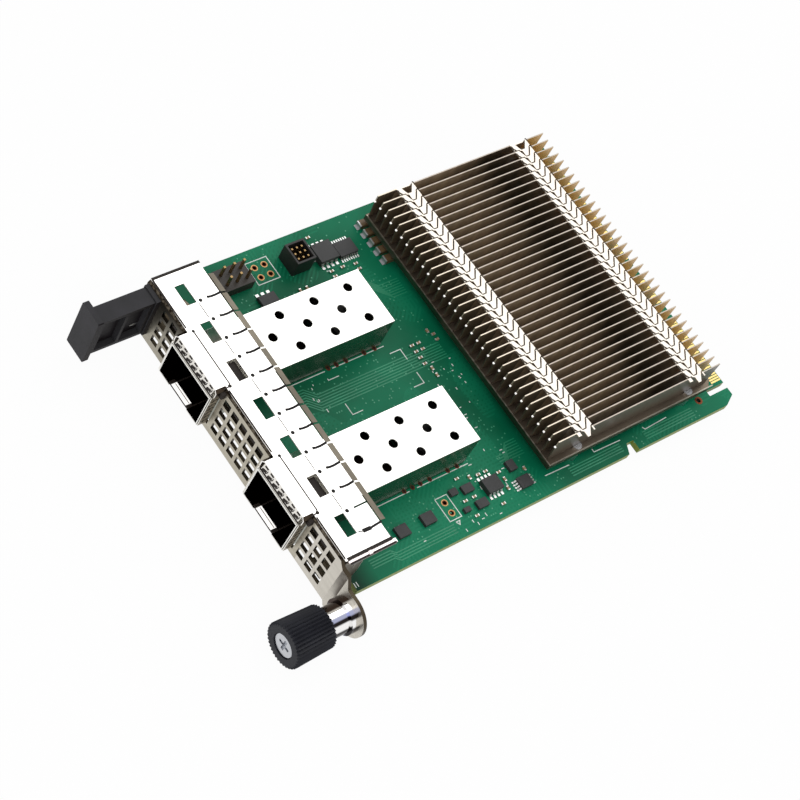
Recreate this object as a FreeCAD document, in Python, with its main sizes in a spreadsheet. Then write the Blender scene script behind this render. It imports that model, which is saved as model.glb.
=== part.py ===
import FreeCAD, Part
import os
import re
from math import cos, pi, sin

import Sketcher
from FreeCAD import Rotation, Vector

# Mezzanine network card for a server.
# Every piece is drawn in the board frame: X to the right seen from the front, Y to the rear, Z up,
# with X = 0 midway across the board, Y = 0 on the front of the bracket and Z = 0 on top of the board.
# The finished pieces are then shifted together, so that the part's origin lies midway under it.

DIMENSIONS = {
    # Circuit board
    "board_width": 76.0,
    "board_front": 6.5,
    "board_rear": 115.2,
    "board_thick": 1.57,
    "slot_width": 1.45,
    "slot_depth": 5.55,
    "ear_wide": 3.55,
    "ear_cut": 1.65,
    "ear_chamfer": 3.1,
    "notch_front": 82.7,
    "notch_length": 1.95,
    "notch_depth": 2.4,
    "notch_lead": 1.1,
    "ear_hole_inset": 3.8,
    "ear_hole_y": 106.2,
    "ear_hole_radius": 0.55,
    # Gold contacts on the rear edge
    "contact_pitch": 0.6,
    "contact_wide": 0.4,
    "contact_long": 2.9,
    "contact_high": 0.05,
    "contact_inset": 0.15,
    "key_gap": 4.9,
    "key_width": 1.1,
    "key_depth": 3.6,
    # Bracket
    "bracket_left": 34.0,
    "bracket_right": 35.8,
    "bracket_thick": 0.8,
    "bracket_top": 11.8,
    "bracket_bottom": 1.9,
    "bracket_flange": 3.2,
    "bend_radius": 0.7,
    "joggle_end": 37.4,
    "joggle_depth": 0.8,
    "neck_top_x": 34.05,
    "neck_high_x": 37.2,
    "neck_high_z": 9.0,
    "neck_mid_z": 10.1,
    "neck_low_x": 38.8,
    "neck_foot_x": 36.4,
    "neck_foot_z": 3.5,
    "port_gap": 0.5,
    "vent_side": 2.05,
    "vent_pitch": 2.83,
    "vent_low": 0.8,
    "vent_left_x": -26.4,
    "vent_middle_x": -4.1,
    "vent_right_x": 26.5,
    "foot_inner": 28.2,
    "foot_outer": 32.4,
    "foot_rear": 11.6,
    "foot_screw_x": 30.3,
    "foot_screw_y": 9.2,
    # Top strip of shield fingers
    "strip_top": 12.2,
    "strip_thick": 0.3,
    "strip_front": 0.45,
    "strip_rear": 12.9,
    "strip_bend": 11.6,
    "strip_drop": 1.3,
    "strip_right": 35.2,
    "window_first": 30.5,
    "window_pitch": 9.46,
    "window_width": 4.8,
    "window_front": 3.8,
    "window_long": 2.3,
    "slit_first": 25.8,
    "slit_front": 8.8,
    "slit_wide": 0.36,
    "dot_y": 7.1,
    "dot_radius": 0.36,
    "lip_radius": 0.42,
    "hump_front": 1.9,
    "hump_side": 0.45,
    "hump_low": 9.95,
    "hump_lap": 0.6,
    "hump_corner": 0.12,
    "lip_front": 1.7,
    "clip_foot": 6.0,
    "clip_belly_y": 6.4,
    "clip_belly_z": 4.4,
    "clip_waist_y": 6.2,
    "clip_waist_z": 8.4,
    "clip_top": 5.4,
    "clip_gap": 0.1,
    # Transceiver cages
    "cage_left_x": -13.7,
    "cage_right_x": 17.0,
    "cage_width": 13.8,
    "cage_nose": 2.5,
    "cage_rear": 44.9,
    "cage_high": 9.6,
    "cage_wall": 0.3,
    "cage_vent_radius": 1.0,
    "cage_vent_dx": 3.93,
    "cage_vent_y": 22.25,
    "cage_vent_dy": 8.92,
    "cage_vent_stagger": 4.4,
    "tongue_wide": 5.6,
    "tongue_long": 9.0,
    "tongue_gap": 0.35,
    "tongue_short": 0.4,
    "pin_first": 31.1,
    "pin_pitch": 2.44,
    "pin_wide": 0.5,
    "pin_long": 2.3,
    "pin_hole_radius": 0.42,
    # Gasket round a cage's nose
    "gasket_thick": 0.2,
    "gasket_gap": 0.08,
    "gasket_reach": 2.3,
    "gasket_side": 0.5,
    "gasket_back": 0.15,
    # Host connectors inside the cages
    "host_width": 11.6,
    "host_front": 33.6,
    "host_long": 9.6,
    "host_high": 6.2,
    "host_slot_wide": 9.4,
    "host_slot_high": 1.4,
    "host_slot_z": 3.6,
    "host_slot_deep": 5.4,
    "host_gap": 0.3,
    "host_pitch": 0.8,
    "host_contact_wide": 0.35,
    "host_contact_high": 0.2,
    # Pull tab
    "pull_x": -31.3,
    "pull_width": 4.0,
    "pull_reach": 15.0,
    "pull_low": 0.0,
    "pull_high": 11.0,
    "pull_wall": 0.9,
    "pull_web": 1.4,
    "pull_root": 1.0,
    "pull_root_lip": 0.3,
    "pull_end_thick": 1.3,
    "pull_end_left": 34.7,
    "pull_end_right": 28.9,
    "pull_end_low": 1.6,
    "pull_end_high": 11.7,
    "pull_rib": 0.7,
    "pull_screw_low": 2.6,
    "pull_screw_pitch": 5.8,
    "pull_screw_radius": 0.8,
    "pull_screw_head": 1.5,
    "pull_screw_high": 1.1,
    "pull_screw_deep": 4.0,
    # Captive thumbscrew, on an axis along Y
    "thumb_x": 41.3,
    "thumb_z": 1.2,
    "ear_radius": 5.1,
    "sleeve_radius": 3.3,
    "sleeve_front": 7.2,
    "sleeve_lip": 0.6,
    "sleeve_lip_bore": 1.75,
    "sleeve_bore": 2.6,
    "sleeve_floor": 0.3,
    "sleeve_floor_bore": 1.7,
    "collar_radius": 3.9,
    "collar_front": 0.9,
    "spigot_radius": 2.6,
    "knob_front": 14.8,
    "knob_rear": 5.3,
    "knob_radius": 4.9,
    "knob_taper": 0.35,
    "knob_wall": 2.3,
    "knob_bore": 3.6,
    "knob_edge": 0.3,
    "knob_recess": 0.25,
    "flute_depth": 0.42,
    "flute_wide": 0.62,
    "screw_radius": 1.5,
    "screw_tip": 1.2,
    "screw_head": 2.6,
    "screw_head_gap": 0.12,
    "screw_head_high": 1.6,
    "screw_collar": 2.35,
    "screw_collar_long": 0.6,
    "screw_collar_gap": 0.05,
    "recess_wide": 0.7,
    "recess_long": 2.9,
    "recess_deep": 0.9,
    "spring_wire": 0.18,
    "spring_radius": 2.1,
    "spring_gap": 0.04,
    # Heatsink
    "sink_left": 34.2,
    "sink_right": 33.7,
    "sink_front": 59.5,
    "sink_rear": 109.0,
    "sink_low": 2.2,
    "base_thick": 1.6,
    "base_corner": 1.6,
    "fin_first": -33.8,
    "fin_pitch": 1.9924,
    "fin_thick": 0.24,
    "fin_top": 11.0,
    "fin_front": 59.4,
    "fin_rear": 107.6,
    "fin_break": 9.1,
    "fin_lean": 0.7,
    "fin_gap": 0.18,
    "last_tab": 1.0,
    "tab_arm": 0.9,
    "tab_bend": 1.65,
    "tab_front": 1.97,
    "tab_rear": 2.73,
    "tab_slit": 4.18,
    "tab_reach": 3.79,
    "tab_heel": 1.6,
    "tab_inner": 1.79,
    "band_first": 64.45,
    "band_second": 97.6,
    "band_long": 4.7,
    "post_right": 32.3,
    "post_left": 31.2,
    "post_front": 68.3,
    "post_rear": 101.7,
    "post_radius": 1.5,
    "post_neck": 0.85,
    "post_head": 1.1,
    "post_head_high": 0.45,
    "post_bore": 0.65,
    "post_screw": 0.6,
    "post_screw_head": 1.2,
    "post_screw_high": 0.7,
    "post_screw_deep": 1.6,
    "hole_gap": 0.08,
    # Network processor under the heatsink
    "chip_x": -0.5,
    "chip_y": 85.0,
    "chip_side": 25.0,
    "chip_high": 1.9,
    "pad_inset": 4.0,
    # Pin header block and box connector
    "header_x": -32.4,
    "header_y": 23.4,
    "header_width": 5.4,
    "header_long": 7.9,
    "header_high": 2.5,
    "header_pitch": 2.54,
    "header_pin": 0.5,
    "header_pin_high": 5.6,
    "box_x": -31.35,
    "box_y": 39.5,
    "box_width": 5.3,
    "box_long": 5.0,
    "box_high": 4.5,
    "box_wall": 0.5,
    "box_deep": 3.4,
    "box_pitch": 1.27,
    "box_pin": 0.4,
    "box_pin_high": 4.1,
    # Drilled pads
    "pad_hole_radius": 0.45,
    "quad_pad_x": -33.65,
    "quad_pad_y": 30.55,
    "twin_pad_x": 29.75,
    "twin_pad_y": 35.35,
    "pad_pitch": 2.54,
    # Ceramic capacitors in front of the heatsink
    "capacitor_first": -33.8,
    "capacitor_pitch": 2.42,
    "capacitor_wide": 1.6,
    "capacitor_front": 58.5,
    "capacitor_long": 3.2,
    "capacitor_high": 1.3,
    # Leads of the chips
    "lead_thick": 0.15,
    "lead_reach": 1.0,
    "lead_share": 0.55,
    "lead_knee": 0.34,
    "lead_lift": 0.1,
    # Small resistors and capacitors
    "small_long": 1.0,
    "small_wide": 0.5,
    "small_high": 0.4,
    # Bottom insulator, its spacers and rivets
    "insulator_thick": 0.35,
    "insulator_half": 34.0,
    "insulator_front": 8.2,
    "insulator_rear": 107.0,
    "insulator_drop": 3.6,
    "spacer_radius": 2.0,
    "rivet_x": 26.4,
    "rivet_front": 10.6,
    "rivet_rear": 102.5,
    "rivet_radius": 0.9,
    "rivet_head": 1.7,
    "rivet_cap": 0.5,
    # Bracket screws
    "screw_hold_radius": 1.0,
    "screw_hold_head": 1.9,
    "screw_hold_high": 1.2,
    "screw_hold_deep": 1.3,
}

# How many of each
COUNTS = {
    "vent_rows": 4,
    "vent_left_columns": 2,
    "vent_middle_columns": 5,
    "vent_right_columns": 3,
    "flute_count": 36,
    "spring_turns": 4,
    "spring_steps": 10,
    "spring_sides": 5,
    "fin_count": 34,
}

# Sides of small round holes and posts, and of the cages' vents
FEW_SIDES = 6
SOME_SIDES = 8
MANY_SIDES = 12

# Packaged chips: middle X, middle Y, width, length, height, leads on each side, side of the leads
CHIPS = {
    "memory_chip": (-30.7, 46.75, 4.6, 4.9, 1.7, 4, "x"),
    "interface_chip": (-30.05, 52.1, 3.6, 4.8, 1.1, 8, "x"),
    "clock_chip": (-25.65, 28.4, 2.4, 4.2, 1.0, 3, "x"),
    "power_chip": (30.9, 46.95, 3.4, 4.0, 1.5, 4, "x"),
    "monitor_chip": (33.3, 54.4, 2.6, 3.2, 1.0, 4, "y"),
    "front_regulator": (31.3, 22.7, 2.6, 3.0, 0.85, 0, "x"),
    "rear_regulator": (31.3, 29.5, 2.6, 3.1, 0.85, 0, "x"),
}

# Small bare chips near the right edge: middle X, middle Y, width, length, height
SMALL_CHIPS = (
    (28.95, 54.0, 2.4, 2.0, 0.9),
    (29.25, 41.65, 1.9, 2.7, 0.8),
    (28.7, 38.25, 1.5, 1.9, 0.8),
    (33.4, 42.55, 1.9, 2.8, 0.8),
    (33.25, 38.6, 1.1, 1.6, 0.8),
)

# Small resistors and capacitors: middle X, middle Y, and whether they lie along Y
SMALL_PARTS = (
    (-3.9, 51.6, True), (-2.3, 51.6, True), (-0.7, 51.6, True), (0.9, 51.6, True),
    (-3.9, 53.4, True), (-2.3, 53.4, True), (2.5, 52.5, False), (4.3, 52.5, False),
    (-4.4, 58.0, True), (-3.0, 58.0, True), (-5.6, 57.2, False),
    (26.4, 41.0, True), (27.3, 43.9, False), (31.4, 42.0, True), (31.4, 39.6, True),
    (30.9, 50.9, False), (32.9, 50.3, False), (29.0, 50.6, True), (35.4, 47.0, True),
    (27.6, 46.0, True), (27.6, 48.0, True), (35.2, 39.9, True), (30.7, 56.6, False),
    (-26.4, 46.0, True), (-25.0, 46.0, True), (-26.4, 49.0, True), (-35.6, 46.0, True),
    (-24.9, 36.6, False), (-24.9, 38.4, False), (-26.0, 52.3, True), (-24.6, 52.3, True),
)

SIZES = {**DIMENSIONS, **COUNTS}
CARD = "mezzanine_network_card"
CONTACT_GROUPS = (14, 28, 14, 28)
PIN_PLACES = (0, 1, 2, 4, 5)
PLANE_ROLES = {"XY": "XY_Plane", "XZ": "XZ_Plane", "YZ": "YZ_Plane"}

doc = FreeCAD.newDocument(CARD)
sheet = doc.addObject("Spreadsheet::Sheet", "dims")
nodes = []


# Sheet and expressions

def fill_sheet():
    """Write every driving dimension as a plain number beside its alias."""
    for row, (alias, value) in enumerate(SIZES.items(), start=1):
        sheet.set(f"A{row}", alias)
        sheet.set(f"B{row}", str(value))
        sheet.setAlias(f"B{row}", alias)
    doc.recompute()


def full(expression):
    """Name the sheet in front of each alias of an expression."""
    def with_sheet(match):
        word = match.group(0)
        return f"dims.{word}" if word in SIZES else word
    return re.sub(r"[a-z][a-z_]*", with_sheet, str(expression))


def number(expression):
    """Value of an expression at the present sizes."""
    return float(sheet.evalExpression(full(expression)))


def bind(item, prop, expression):
    """Bind a property to the sheet."""
    item.setExpression(prop, full(expression))


# Places that several pieces share

BOARD_HALF = "board_width / 2"
BOARD_LOW = "-board_thick"
SLOT_OUT = "(board_width / 2 - ear_wide)"
TONGUE_HALF = "(board_width / 2 - ear_wide - slot_width)"
FACE_BACK = "bracket_thick"
CAGE_HALF = "cage_width / 2"
BASE_TOP = "(sink_low + base_thick)"
EAR_FRONT = "joggle_depth"
EAR_BACK = "(joggle_depth + bracket_thick)"
SHEET_TOP = "(insulator_thick - insulator_drop)"
SHEET_LOW = "-insulator_drop"
REST_LOW = "(thumb_z - ear_radius)"
SHIFT_X = "(board_width / 2 - thumb_x - ear_radius) / 2"
SHIFT_Y = "(max(pull_reach; knob_front) - board_rear) / 2"
SHIFT_Z = "ear_radius - thumb_z"
PORTS = (("left", "cage_left_x"), ("right", "cage_right_x"))


# Builders

def node(item, label, offset=("0", "0", "0")):
    """Name a finished piece, and put it in the part's frame."""
    item.Label = label
    shifts = (SHIFT_X, SHIFT_Y, SHIFT_Z)
    for axis, shift, extra in zip("xyz", shifts, offset):
        bind(item, f"Placement.Base.{axis}", f"{shift} + {extra}")
    nodes.append(item)
    return item


def body_of(name):
    return doc.addObject("PartDesign::Body", name + "_body")


def sketch_in(body, name, plane, height):
    """A sketch on one of the body's own planes, lifted along the positive axis."""
    role = PLANE_ROLES[plane]
    support = next(item for item in body.Origin.OriginFeatures if item.Role == role)
    sketch = body.newObject("Sketcher::SketchObject", name)
    sketch.AttachmentSupport = [(support, "")]
    sketch.MapMode = "FlatFace"
    sign = "-1" if plane == "XZ" else "1"
    bind(sketch, "AttachmentOffset.Base.z", f"{sign} * ({height})")
    return sketch


def hold(sketch, kept):
    """Hold points and radii of a sketch at expressions, given as kind, place and expression."""
    constraints = [Sketcher.Constraint(kind, *where, number(value)) for kind, where, value in kept]
    indices = sketch.addConstraint(constraints)
    for index, (_, _, value) in zip(indices, kept):
        sketch.setExpression(f"Constraints[{index}]", full(value))


def draw_polygon(sketch, points):
    """A closed line through points given as pairs of expressions."""
    places = [Vector(number(x), number(y), 0) for x, y in points]
    count = len(places)
    lines = [Part.LineSegment(places[i], places[(i + 1) % count]) for i in range(count)]
    first = sketch.addGeometry(lines)[0]
    joints = []
    kept = []
    for i, (x, y) in enumerate(points):
        joints.append(Sketcher.Constraint("Coincident", first + i, 2, first + (i + 1) % count, 1))
        kept.append(("DistanceX", (-1, 1, first + i, 1), x))
        kept.append(("DistanceY", (-1, 1, first + i, 1), y))
    sketch.addConstraint(joints)
    hold(sketch, kept)


def draw_circle(sketch, x, y, radius):
    circle = Part.Circle(Vector(number(x), number(y), 0), Vector(0, 0, 1), number(radius))
    index = sketch.addGeometry(circle)
    hold(sketch, [("DistanceX", (-1, 1, index, 3), x), ("DistanceY", (-1, 1, index, 3), y),
                  ("Radius", (index,), radius)])


def draw(sketch, shapes):
    """Draw polygons, given as lists of points, and circles, given as x, y and radius."""
    for shape in shapes:
        if isinstance(shape, tuple):
            draw_circle(sketch, *shape)
        else:
            draw_polygon(sketch, shape)


def pad(body, name, plane, shapes, low, high):
    """Add the shapes between two heights along the plane's axis."""
    sketch = sketch_in(body, name + "_outline", plane, low)
    draw(sketch, shapes)
    feature = body.newObject("PartDesign::Pad", name)
    feature.Profile = sketch
    feature.Reversed = plane == "XZ"
    bind(feature, "Length", f"({high}) - ({low})")
    return feature


def pocket(body, name, plane, shapes, low, high):
    """Take the shapes away between two heights along the plane's axis."""
    sketch = sketch_in(body, name + "_outline", plane, low)
    draw(sketch, shapes)
    feature = body.newObject("PartDesign::Pocket", name)
    feature.Profile = sketch
    feature.Reversed = plane != "XZ"
    bind(feature, "Length", f"({high}) - ({low})")
    return feature


def turn(body, name, points):
    """Revolve a profile of radius and Y about the body's own Y axis."""
    sketch = sketch_in(body, name + "_profile", "XY", "0")
    draw(sketch, [points])
    feature = body.newObject("PartDesign::Revolution", name)
    feature.Profile = sketch
    feature.ReferenceAxis = (sketch, ["V_Axis"])
    feature.Angle = 360
    return feature


def round_edges(body, name, radius, chosen):
    """Fillet the edges of the body that a test chooses."""
    doc.recompute()
    edges = body.Tip.Shape.Edges
    names = [f"Edge{i + 1}" for i, edge in enumerate(edges) if chosen(edge)]
    base = body.Tip
    feature = body.newObject("PartDesign::Fillet", name)
    feature.Base = (base, names)
    bind(feature, "Radius", radius)
    return feature


def rectangle(x_low, x_high, y_low, y_high):
    return [(x_low, y_low), (x_high, y_low), (x_high, y_high), (x_low, y_high)]


def box(name, x_range, y_range, z_range):
    """A block between pairs of expressions."""
    item = doc.addObject("Part::Box", name)
    sizes = ("Length", "Width", "Height")
    for axis, size, (low, high) in zip("xyz", sizes, (x_range, y_range, z_range)):
        bind(item, size, f"({high}) - ({low})")
        bind(item, f"Placement.Base.{axis}", low)
    return item


def column(name, radius, length, sides):
    """A cylinder, or a prism where a number of sides is given."""
    if sides:
        item = doc.addObject("Part::Prism", name)
        item.Polygon = sides
        bind(item, "Circumradius", radius)
    else:
        item = doc.addObject("Part::Cylinder", name)
        bind(item, "Radius", radius)
    bind(item, "Height", length)
    return item


def post(name, x, y, radius, low, high, sides=0):
    """An upright column."""
    item = column(name, radius, f"({high}) - ({low})", sides)
    for axis, value in zip("xyz", (x, y, low)):
        bind(item, f"Placement.Base.{axis}", value)
    return item


def rod(name, x, z, radius, front, rear, sides=0):
    """A column along Y."""
    item = column(name, radius, f"({rear}) - ({front})", sides)
    item.Placement.Rotation = Rotation(Vector(1, 0, 0), -90)
    for axis, value in zip("xyz", (x, front, z)):
        bind(item, f"Placement.Base.{axis}", value)
    return item


def bored(name, base, holes, low, high):
    """Take upright holes, given as x, y, radius and sides, out of a piece."""
    tools = [post(f"{name}_{index}", x, y, radius, low, high, sides)
             for index, (x, y, radius, sides) in enumerate(holes)]
    return cut(name, base, group(name + "_tools", tools))


def fuse(name, pieces):
    item = doc.addObject("Part::MultiFuse", name)
    item.Shapes = pieces
    return item


def cut(name, base, tool):
    item = doc.addObject("Part::Cut", name)
    item.Base = base
    item.Tool = tool
    return item


def group(name, pieces):
    """Separate solids that share one node."""
    item = doc.addObject("Part::Compound", name)
    item.Links = pieces
    return item


def shaped(name, shape):
    """A node whose shape is worked out from the sheet in code."""
    item = doc.addObject("Part::Feature", name)
    item.Shape = shape
    return item


def block(x_low, x_high, y_low, y_high, z_low, z_high):
    """A plain block from numbers, for rows of like pieces."""
    corner = Vector(x_low, y_low, z_low)
    return Part.makeBox(x_high - x_low, y_high - y_low, z_high - z_low, corner)


def prism(points, push):
    """A flat outline of vectors, pushed along a vector."""
    wire = Part.makePolygon(points + points[:1])
    return Part.Face(wire).extrude(push)


# Circuit board and its edge contacts

def group_width(count):
    return f"({count - 1} * contact_pitch + contact_wide)"


def group_starts():
    """X where each group of edge contacts starts, as expressions."""
    widths = " + ".join(group_width(count) for count in CONTACT_GROUPS)
    start = f"-({widths} + {len(CONTACT_GROUPS) - 1} * key_gap) / 2"
    starts = []
    for count in CONTACT_GROUPS:
        starts.append(start)
        start = f"{start} + {group_width(count)} + key_gap"
    return starts


def board_outline():
    """The outline, with a side notch, corner ears and key slots in the rear tongue."""
    slot_low = "board_rear - slot_depth"
    ear_tip = f"({BOARD_HALF} - ear_cut)"
    points = [(f"-{BOARD_HALF}", "board_front"), (BOARD_HALF, "board_front")]
    points += [(BOARD_HALF, "notch_front - notch_lead"),
               (f"{BOARD_HALF} - notch_depth", "notch_front"),
               (f"{BOARD_HALF} - notch_depth", "notch_front + notch_length"),
               (BOARD_HALF, "notch_front + notch_length")]
    points += [(BOARD_HALF, "board_rear - ear_chamfer"), (ear_tip, "board_rear"),
               (SLOT_OUT, "board_rear"), (SLOT_OUT, slot_low), (TONGUE_HALF, slot_low),
               (TONGUE_HALF, "board_rear")]
    for start in reversed(group_starts()[1:]):
        middle = f"{start} - key_gap / 2"
        points += [(f"{middle} + key_width / 2", "board_rear"),
                   (f"{middle} + key_width / 2", "board_rear - key_depth"),
                   (f"{middle} - key_width / 2", "board_rear - key_depth"),
                   (f"{middle} - key_width / 2", "board_rear")]
    points += [(f"-{TONGUE_HALF}", "board_rear"), (f"-{TONGUE_HALF}", slot_low),
               (f"-{SLOT_OUT}", slot_low), (f"-{SLOT_OUT}", "board_rear"),
               (f"-{ear_tip}", "board_rear"), (f"-{BOARD_HALF}", "board_rear - ear_chamfer")]
    return points


def cage_pin_places():
    """Middle of every cage pin, and whether it stands on the left wall."""
    places = []
    for _, middle in PORTS:
        for side in (-1, 1):
            x = f"{middle} + {side} * ({CAGE_HALF} - cage_wall / 2)"
            for step in PIN_PLACES:
                places.append((x, f"pin_first + {step} * pin_pitch"))
    return places


def post_places():
    """Fixing points of the heatsink."""
    return [(x, y) for x in ("post_right", "-post_left") for y in ("post_front", "post_rear")]


def rivet_places():
    return [(f"{side} * rivet_x", y) for side in (-1, 1) for y in ("rivet_front", "rivet_rear")]


def foot_places():
    return [(f"{side} * foot_screw_x", "foot_screw_y") for side in (-1, 1)]


def board_holes():
    holes = [(x, y, "pin_hole_radius", 4) for x, y in cage_pin_places()]
    holes += [(x, y, "post_screw + hole_gap", FEW_SIDES) for x, y in post_places()]
    holes += [(x, y, "rivet_radius + hole_gap", SOME_SIDES) for x, y in rivet_places()]
    holes += [(x, y, "screw_hold_radius + hole_gap", SOME_SIDES) for x, y in foot_places()]
    for across in (0, 1):
        x = f"quad_pad_x + {across} * pad_pitch"
        for along in (0, 1):
            holes.append((x, f"quad_pad_y + {along} * pad_pitch", "pad_hole_radius", SOME_SIDES))
        holes.append((f"twin_pad_x + {across} * pad_pitch", "twin_pad_y", "pad_hole_radius", SOME_SIDES))
    holes.append((f"{BOARD_HALF} - ear_hole_inset", "ear_hole_y", "ear_hole_radius", SOME_SIDES))
    return holes


def make_board():
    body = body_of("board")
    pad(body, "board_plate", "XY", [board_outline()], BOARD_LOW, "0")
    node(bored("board_holes", body, board_holes(), f"{BOARD_LOW} - 1", "1"), "circuit_board")


def make_edge_contacts():
    """Gold contacts on both faces of the tongue."""
    rear = number("board_rear - contact_inset")
    front = rear - number("contact_long")
    wide = number("contact_wide")
    high = number("contact_high")
    lefts = []
    for count, start in zip(CONTACT_GROUPS, group_starts()):
        lefts += [number(start) + step * number("contact_pitch") for step in range(count)]
    for label, low in (("top", 0.0), ("bottom", number(BOARD_LOW) - high)):
        strips = [block(x, x + wide, front, rear, low, low + high) for x in lefts]
        node(shaped(f"contacts_{label}", Part.makeCompound(strips)), f"edge_contacts_{label}")


# Bracket

def bracket_section():
    """The bracket seen from above: flat, then stepped back behind the ear."""
    return [("-bracket_left", "0"), ("bracket_right", "0"), ("joggle_end", EAR_FRONT),
            ("thumb_x", EAR_FRONT), ("thumb_x", EAR_BACK),
            ("joggle_end - bracket_thick / 2", EAR_BACK),
            ("bracket_right - bracket_thick / 2", FACE_BACK), ("-bracket_left", FACE_BACK)]


def bracket_front():
    """The bracket seen from the front, up to the middle of its round ear."""
    return [("-bracket_left", "-bracket_bottom"), ("bracket_right", "-bracket_bottom"),
            ("neck_foot_x", "-neck_foot_z"), ("thumb_x", "thumb_z - ear_radius"),
            ("thumb_x", "thumb_z + ear_radius"), ("neck_low_x", "thumb_z + ear_radius"),
            ("neck_high_x", "neck_high_z"), ("bracket_right", "neck_mid_z"),
            ("neck_top_x", "bracket_top"), ("-bracket_left", "bracket_top")]


def cut_vents(body, name, first_x, columns):
    """A field of square vents: a pocket for the first column, repeated to the right."""
    half = "vent_side / 2"
    column_of_vents = []
    for row in range(COUNTS["vent_rows"]):
        middle = f"vent_low + {row} * vent_pitch"
        column_of_vents.append(rectangle(f"{first_x} - {half}", f"{first_x} + {half}",
                                         f"{middle} - {half}", f"{middle} + {half}"))
    first = pocket(body, name, "XZ", column_of_vents, "-1", f"{FACE_BACK} + 0.1")
    pattern = body.newObject("PartDesign::LinearPattern", name + "_field")
    pattern.Originals = [first]
    pattern.Direction = (first.Profile[0], ["H_Axis"])
    pattern.Mode = "Spacing"
    bind(pattern, "Offset", "vent_pitch")
    bind(pattern, "Occurrences", columns)
    body.Tip = pattern


def make_faceplate():
    body = body_of("faceplate")
    pad(body, "face_sheet", "XY", [bracket_section()], "-neck_foot_z - 1", "bracket_top")
    frame = rectangle("-bracket_left - 9", "thumb_x + 9", "-neck_foot_z - 9", "bracket_top + 9")
    pocket(body, "face_trim", "XZ", [frame, bracket_front()], "-1", f"{EAR_BACK} + 1")
    pad(body, "face_ear", "XZ", [("thumb_x", "thumb_z", "ear_radius")], EAR_FRONT, EAR_BACK)
    pad(body, "face_flange", "YZ",
        [rectangle(f"{FACE_BACK} - 0.1", "bracket_flange", "bracket_top - bracket_thick", "bracket_top")],
        "-bracket_left", "neck_top_x")
    for side, low, high in (("left", "-foot_outer", "-foot_inner"), ("right", "foot_inner", "foot_outer")):
        pad(body, f"face_foot_{side}", "YZ",
            [rectangle(f"{FACE_BACK} - 0.1", "foot_rear", "0", "bracket_thick")], low, high)
    round_edges(body, "face_bend", "bend_radius", is_top_bend)
    ports = [rectangle(f"{x} - {CAGE_HALF} - port_gap", f"{x} + {CAGE_HALF} + port_gap",
                       "-port_gap", "bracket_top + 1") for _, x in PORTS]
    pocket(body, "face_ports", "XZ", ports, "-1", "bracket_flange + 1")
    for place in ("left", "middle", "right"):
        cut_vents(body, f"face_vents_{place}", f"vent_{place}_x", f"vent_{place}_columns")
    pocket(body, "face_screw_hole", "XZ", [("thumb_x", "thumb_z", "spigot_radius")], "0", "3")
    feet = [(x, y, "screw_hold_radius + hole_gap", SOME_SIDES) for x, y in foot_places()]
    face = bored("face_foot_holes", body, feet, "-1", "bracket_thick + 1")
    pulls = [rod(f"face_pull_hole_{index}", "pull_x", z, "pull_screw_radius + hole_gap", "-1",
                 f"{FACE_BACK} + 1", SOME_SIDES) for index, z in enumerate(pull_screw_heights())]
    node(cut("face_pull_holes", face, group("face_pull_tools", pulls)), "faceplate")


def is_top_bend(edge):
    """The long edge where the face turns into the top flange."""
    box_of = edge.BoundBox
    at_top = abs(box_of.ZMin - number("bracket_top")) < 0.01 and box_of.ZLength < 0.01
    at_front = abs(box_of.YMax) < 0.01
    return at_top and at_front


def make_bracket_screws():
    screws = []
    for index, (x, y) in enumerate(foot_places()):
        head = post(f"hold_head_{index}", x, y, "screw_hold_head", FACE_BACK,
                    f"{FACE_BACK} + screw_hold_high", MANY_SIDES)
        shank = post(f"hold_shank_{index}", x, y, "screw_hold_radius", "-screw_hold_deep",
                     f"{FACE_BACK} + screw_hold_high / 2", SOME_SIDES)
        screws.append(fuse(f"hold_screw_{index}", [head, shank]))
    node(group("bracket_screw_pair", screws), "bracket_screws")


# Top strip of shield fingers

def strip_windows():
    windows = []
    for step in range(7):
        left = f"-window_first + {step} * window_pitch"
        windows.append(rectangle(left, f"{left} + window_width",
                                 "window_front", "window_front + window_long"))
    return windows


def slit_middles():
    return [f"-slit_first + {step} * window_pitch / 2" for step in range(12)]


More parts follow.
